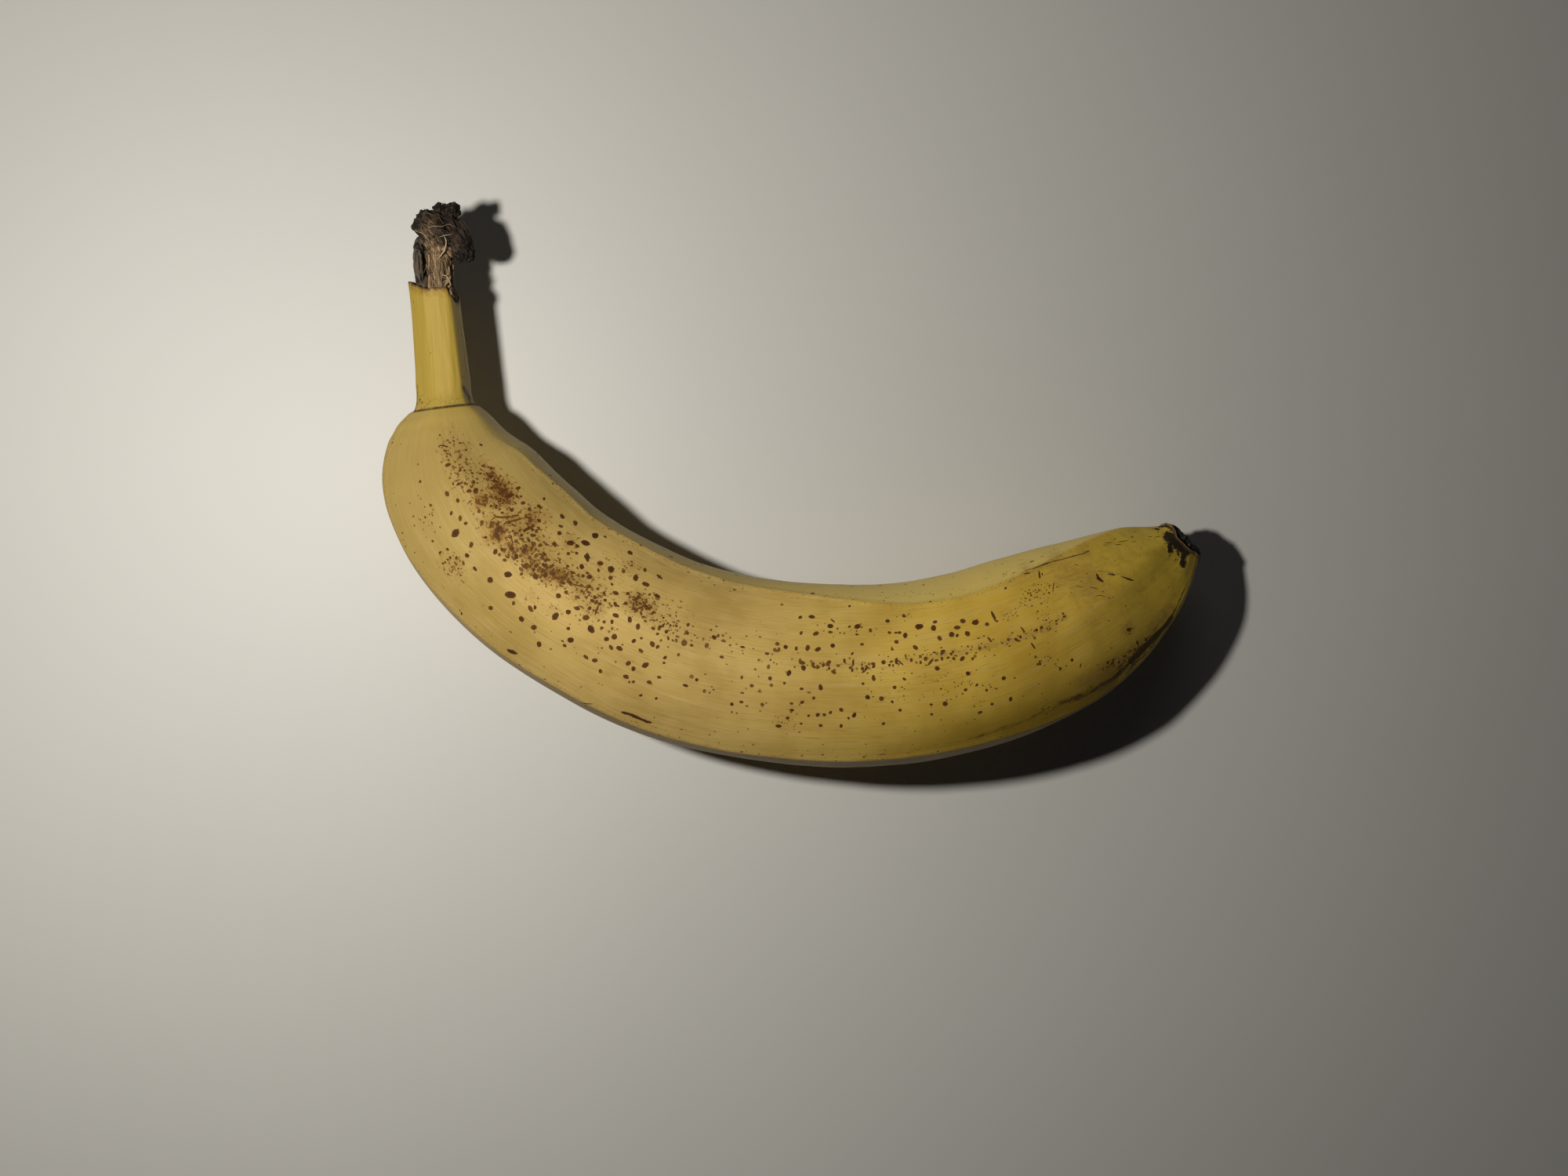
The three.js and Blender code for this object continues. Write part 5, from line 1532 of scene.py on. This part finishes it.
NEARLY_UP = np.array([0.13, 0.07, 1.0])  # leans a little, as a strand may itself point straight up


def nearest_top(xy):
    """Height of the crown's skin over places in plan: that of the nearest point facing up."""
    shown = stub_points[stub_normals[:, 2] > 0.35]
    return np.array([shown[np.argmin(((shown[:, :2] - p) ** 2).sum(axis=1)), 2] for p in xy])


def smoothed(values, reach):
    """The mean of each value and as many as reach on both sides of it."""
    window = 2 * reach + 1
    return np.convolve(np.pad(values, reach, "edge"), np.ones(window) / window, "valid")


def smooth_line(knots, count):
    """A curve through a few points: a cubic between each two, in the direction of the points
    either side."""
    knots = np.asarray(knots, float)
    slope = np.gradient(knots, axis=0)
    t = np.linspace(0, len(knots) - 1, count)
    i = np.minimum(t.astype(int), len(knots) - 2)
    t = (t - i)[:, None]
    return cubic(t, knots[i], slope[i], knots[i + 1], slope[i + 1])


def strand_rings(line, thickness):
    """A tube along a line: rings square to it, thickest in the middle and fine at both ends."""
    forward = unit(np.gradient(line, axis=0))
    out = unit(np.cross(forward, NEARLY_UP))
    up = np.cross(out, forward)
    t = np.linspace(-1, 1, len(line))
    radius = (thickness * (1 - 0.85 * np.abs(t) ** 2.5))[:, None, None]
    turn = even_angles(STRAND_SIDES)
    ring = cosine(turn)[None, :, None] * out[:, None] + sine(turn)[None, :, None] * up[:, None]
    return line[:, None] + radius * ring


def loose_strand(middle, spread, way, fan, length, thickness):
    """A strand laid on the skin: from a random place near the middle it runs in its direction,
    bends a little and lifts off the skin half way."""
    at = rng.normal(middle, np.array(spread) * 0.8)
    size = length * rng.uniform(0.5, 1.3)
    t = np.linspace(-0.5, 0.5, STRAND_POINTS)
    heading = rng.normal(way, fan) + rng.normal(0, 25) * t + rng.normal(0, 8) * np.sin(9 * t)
    step = np.stack([cosine(heading), sine(heading)], axis=-1) * size / (STRAND_POINTS - 1)
    xy = at + np.cumsum(step, axis=0) - step.sum(axis=0) / 2
    top = smoothed(nearest_top(xy), 2)
    lift = (rng.random() ** 2 * 0.35 + 0.02) * (1 - (2 * t) ** 2)
    return strand_rings(np.column_stack([xy, top + lift]), thickness * rng.uniform(0.7, 1.5))


def curl_line(knots):
    """A curl as listed: places in plan, and heights above the skin there."""
    line = smooth_line(knots, CURL_POINTS)
    line[:, 2] += smoothed(nearest_top(line[:, :2]), 4)
    return line


stub_normals = read_points(stub, "normal")
tubes = [loose_strand(*rule) for count, _, *rule in BUNDLES for _ in range(count)]
shades = [rng.uniform(0, palest) for count, palest, *_ in BUNDLES for _ in range(count)]
shades += [1.1] * len(CURLS)
tubes += [strand_rings(curl_line(knots), thickness) for knots, thickness in CURLS]
fibres = stack_mesh("crown_fibres", [rings + ORIGIN for rings in tubes])
set_values(fibres, "shade", np.repeat(shades, [len(rings) * STRAND_SIDES + 2 for rings in tubes]))
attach(fibres, "root")

# %% [markdown]
# ## Colours of the crown
#
# Dead tissue is never one brown: the cap is nearly black with paler crests and worn streaks, the
# bark is grey brown, and the torn fibres are the colour of straw. The height by which the skin was
# pushed is known at every point, so crests are painted pale as painted highlight and hollows and
# grooves dark as painted shade, without a bake. Straw is kept to faces turned up, so faces turned
# down stay dark: painted shade too.

# %% Crown materials
CAP_BLACK = (0.011, 0.008, 0.006)
CAP_BROWN = (0.075, 0.047, 0.029)
BARK_GREY = (0.10, 0.078, 0.055)
STRAW = (0.36, 0.23, 0.110)
STRAW_DARK = (0.060, 0.034, 0.019)
CURL = (0.56, 0.43, 0.25)

# crest: for painted highlight on the crests and painted shade in the hollows
set_values(stub, "crest", ease(-0.35, 0.55, push))
set_values(stub, "bark", bark)
# straw only on faces turned up: faces turned down keep the dark cap colour as painted shade
set_values(stub, "straw", np.maximum(column_face, torn * 0.8) * ease(-0.3, 0.5, stub_normals[:, 2]))
set_values(stub, "strand", ease(-0.8, 0.9, strands))
# sunk: grooves painted black as shade
set_values(stub, "sunk", ease(0.1, 0.9, sunk))


def paint_stub(piece):
    """Black to brown by crest, as painted shade in the hollows and painted highlight on the crests,
    then grey bark and straw fibres over it, and grooves painted black as shade.
    """
    bench = Bench("dry crown")
    grain = bench.cloud(0.7, 4, 0.7)
    crest_value = bench.value("crest") + (grain - 0.5) * 0.5
    strand = bench.value("strand")
    # black in the hollows to brown on the crests, straw on the highest: painted shade and painted highlight
    colour = bench.blend(bench.soft(crest_value, 0.30, 0.95), CAP_BLACK, CAP_BROWN)
    colour = bench.blend(bench.soft(crest_value, 0.88, 1.12) * 0.35, colour, STRAW)
    worn = bench.soft(strand + (grain - 0.5) * 0.6, 0.45, 0.95)
    colour = bench.blend(worn * 0.50, colour, CAP_BROWN)
    grey = bench.blend(bench.soft(strand + (grain - 0.5) * 0.4, 0.3, 0.75), CAP_BLACK, BARK_GREY)
    colour = bench.blend(bench.value("bark"), colour, grey)
    fibre = bench.blend(bench.soft(strand + (grain - 0.5) * 0.5, 0.25, 0.80), STRAW_DARK, STRAW)
    colour = bench.blend(bench.soft(bench.value("straw") + (grain - 0.5) * 0.5, 0.3, 0.7), colour, fibre)
    # grooves painted black: painted shade
    colour = bench.blend(bench.value("sunk") * 0.9, colour, CAP_BLACK)
    normal = bench.bump(grain * 0.6 + strand * 0.4, 0.12)
    bench.finish(piece, Base_Color=colour, Roughness=0.78, Specular_IOR_Level=0.25, Normal=normal)


def paint_fibres(piece):
    """Dark to straw, by a number that each strand carries, paler and darker along it."""
    bench = Bench("straw fibres")
    wander = bench.cloud(1.4, 2, 0.6)
    shade = bench.value("shade") + (wander - 0.5) * 0.5
    colour = bench.blend(bench.soft(shade, 0.0, 0.6), STRAW_DARK, STRAW)
    colour = bench.blend(bench.soft(shade, 0.6, 1.0), colour, CURL)
    bench.finish(piece, Base_Color=colour, Roughness=0.6)


paint_stub(stub)
paint_fibres(fibres)

# %% [markdown]
# ## The scar at the blossom end
#
# Past the lip sits what is left of the flower: a dry plug, rough as bark and nearly black. It is
# the same section as the skin, drawn in behind the lip and pushed about by noise, so it fits the
# fruit without any measuring.

# %% The plug behind the lip
SCAR_BROWN = (0.085, 0.056, 0.038)
SCAR_RINGS, SCAR_SIDES, SCAR_RADIUS = 46, 150, 4.6
# distance past the end of the skin, and how far it is drawn in there
SCAR_PAST = (-1.0, -0.2, 0.15, 0.7, 1.2, 1.65, 1.75, 1.4)
SCAR_DRAWN_IN = (1.2, 0.50, 0.22, 0.22, 0.5, 1.3, 2.4, 3.8)

corner_numbers = range(len(SCAR_PAST))
steps = np.linspace(0, len(SCAR_PAST) - 1, SCAR_RINGS)[:, None]
past = np.interp(steps, corner_numbers, SCAR_PAST)
inwards = np.interp(steps, corner_numbers, SCAR_DRAWN_IN)
scar_angle = even_angles(SCAR_SIDES)
on_circle = circle(SCAR_RADIUS, scar_angle, past)
knobs = ridges(on_circle / place(1.5, 1.5, 3.0), 3, 61) - 0.6
grit = rough(on_circle / 0.5, 2, 63)
scar_push = (0.75 * knobs + 0.10 * grit) * ease(-0.6, 0.4, past)
scar_rings = skin(BLOSSOM_END + past + 0.35 * knobs, scar_angle[None], scar_push - inwards)
scar = stack_mesh("blossom_scar", [scar_rings + ORIGIN])
# crest: for painted shade in the hollows and painted highlight on the crests
set_values(scar, "crest", to_points(ease(-0.3, 0.35, scar_push)))
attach(scar, "root")
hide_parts("banana")


def paint_scar(piece):
    """Black in the hollows and dark brown on the crests, with a little of the skin's tan: painted
    shade in the hollows and painted highlight on the crests.
    """
    bench = Bench("dry scar")
    grain = bench.cloud(0.6, 4, 0.7)
    crest = bench.value("crest") + (grain - 0.5) * 0.6
    # painted shade in the hollows, painted highlight in brown and tan on the crests
    colour = bench.blend(bench.soft(crest, 0.15, 0.75), CAP_BLACK, SCAR_BROWN)
    colour = bench.blend(bench.soft(crest, 0.85, 1.15) * 0.45, colour, LIP_TAN)
    bench.finish(piece, Base_Color=colour, Roughness=0.8, Normal=bench.bump(grain, 0.15))


paint_scar(scar)

# %% [markdown]
# ## Floor, light and the two boxes
#
# The fruit lies on a plain pale table. One small lamp stands on the left, so that the shadow falls
# to the right, a wide weak one behind lifts the inside of the bend, and the room gives a little
# even light from everywhere. The view transform is the plain one, because the soft default dulls
# yellow.

# %% Floor
FLOOR_HALF, FLOOR_LEVEL = 900, -0.1  # mm
FLOOR_DARK, FLOOR_PALE = (0.60, 0.59, 0.545), (0.64, 0.63, 0.585)

round_it = ((-1, -1), (1, -1), (1, 1), (-1, 1))
floor_corners = [(x * FLOOR_HALF, y * FLOOR_HALF, FLOOR_LEVEL) for x, y in round_it]
floor = make_mesh("floor", floor_corners, np.array([[0, 1, 2, 3]]), np.empty((0, 3), int))
floor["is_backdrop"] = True


def paint_floor(piece):
    """Matt pale grey, faintly warm, with a soft cloud in it."""
    bench = Bench("pale table")
    cloud = bench.cloud(90, 3, 0.5)
    colour = bench.blend(cloud, FLOOR_DARK, FLOOR_PALE)
    bench.finish(piece, Base_Color=colour, Roughness=0.5)


paint_floor(floor)

# %% Light
# place and what it points at in mm from the point under the camera, width in m, power in W
KEY = ((-145.0, 35.0, 290.0), (-105.0, 25.0, 0.0), 0.025, 0.82)
BACK = ((40.0, 330.0, 260.0), (20.0, 0.0, 10.0), 0.30, 0.05)
LAMP_COLOUR = (1.0, 0.965, 0.91)
ROOM_COLOUR = (0.74, 0.78, 1.0)
ROOM_STRENGTH = 0.0115


def lamp(name, place_mm, aim_mm, size, power):
    """A round lamp at one place that points at another."""
    light = bpy.data.lights.new(name, "AREA")
    light.shape = "DISK"
    light.size = size
    light.energy = power
    light.color = LAMP_COLOUR
    made = bpy.data.objects.new(name, light)
    start, stop = (np.array(p) + ORIGIN for p in (place_mm, aim_mm))
    made.location = start / 1000
    made.rotation_euler = mathutils.Vector(stop - start).to_track_quat("-Z", "Y").to_euler()
    bpy.context.scene.collection.objects.link(made)
    print(f"{name}: {power} W at {np.round(start)} mm")


lamp("key_lamp", *KEY)
lamp("back_lamp", *BACK)

world = bpy.data.worlds.new("room")
world.use_nodes = True
room = world.node_tree.nodes["Background"]
room.inputs["Color"].default_value = (*ROOM_COLOUR, 1)
room.inputs["Strength"].default_value = ROOM_STRENGTH
bpy.context.scene.world = world
bpy.context.scene.view_settings.view_transform = "Standard"

# %% Compare the boxes and finish
visual_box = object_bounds()
for corner, (packed, dressed) in enumerate(zip(cad_box, visual_box)):
    print(("lowest", "highest")[corner], np.round(packed, 4), np.round(dressed, 4))
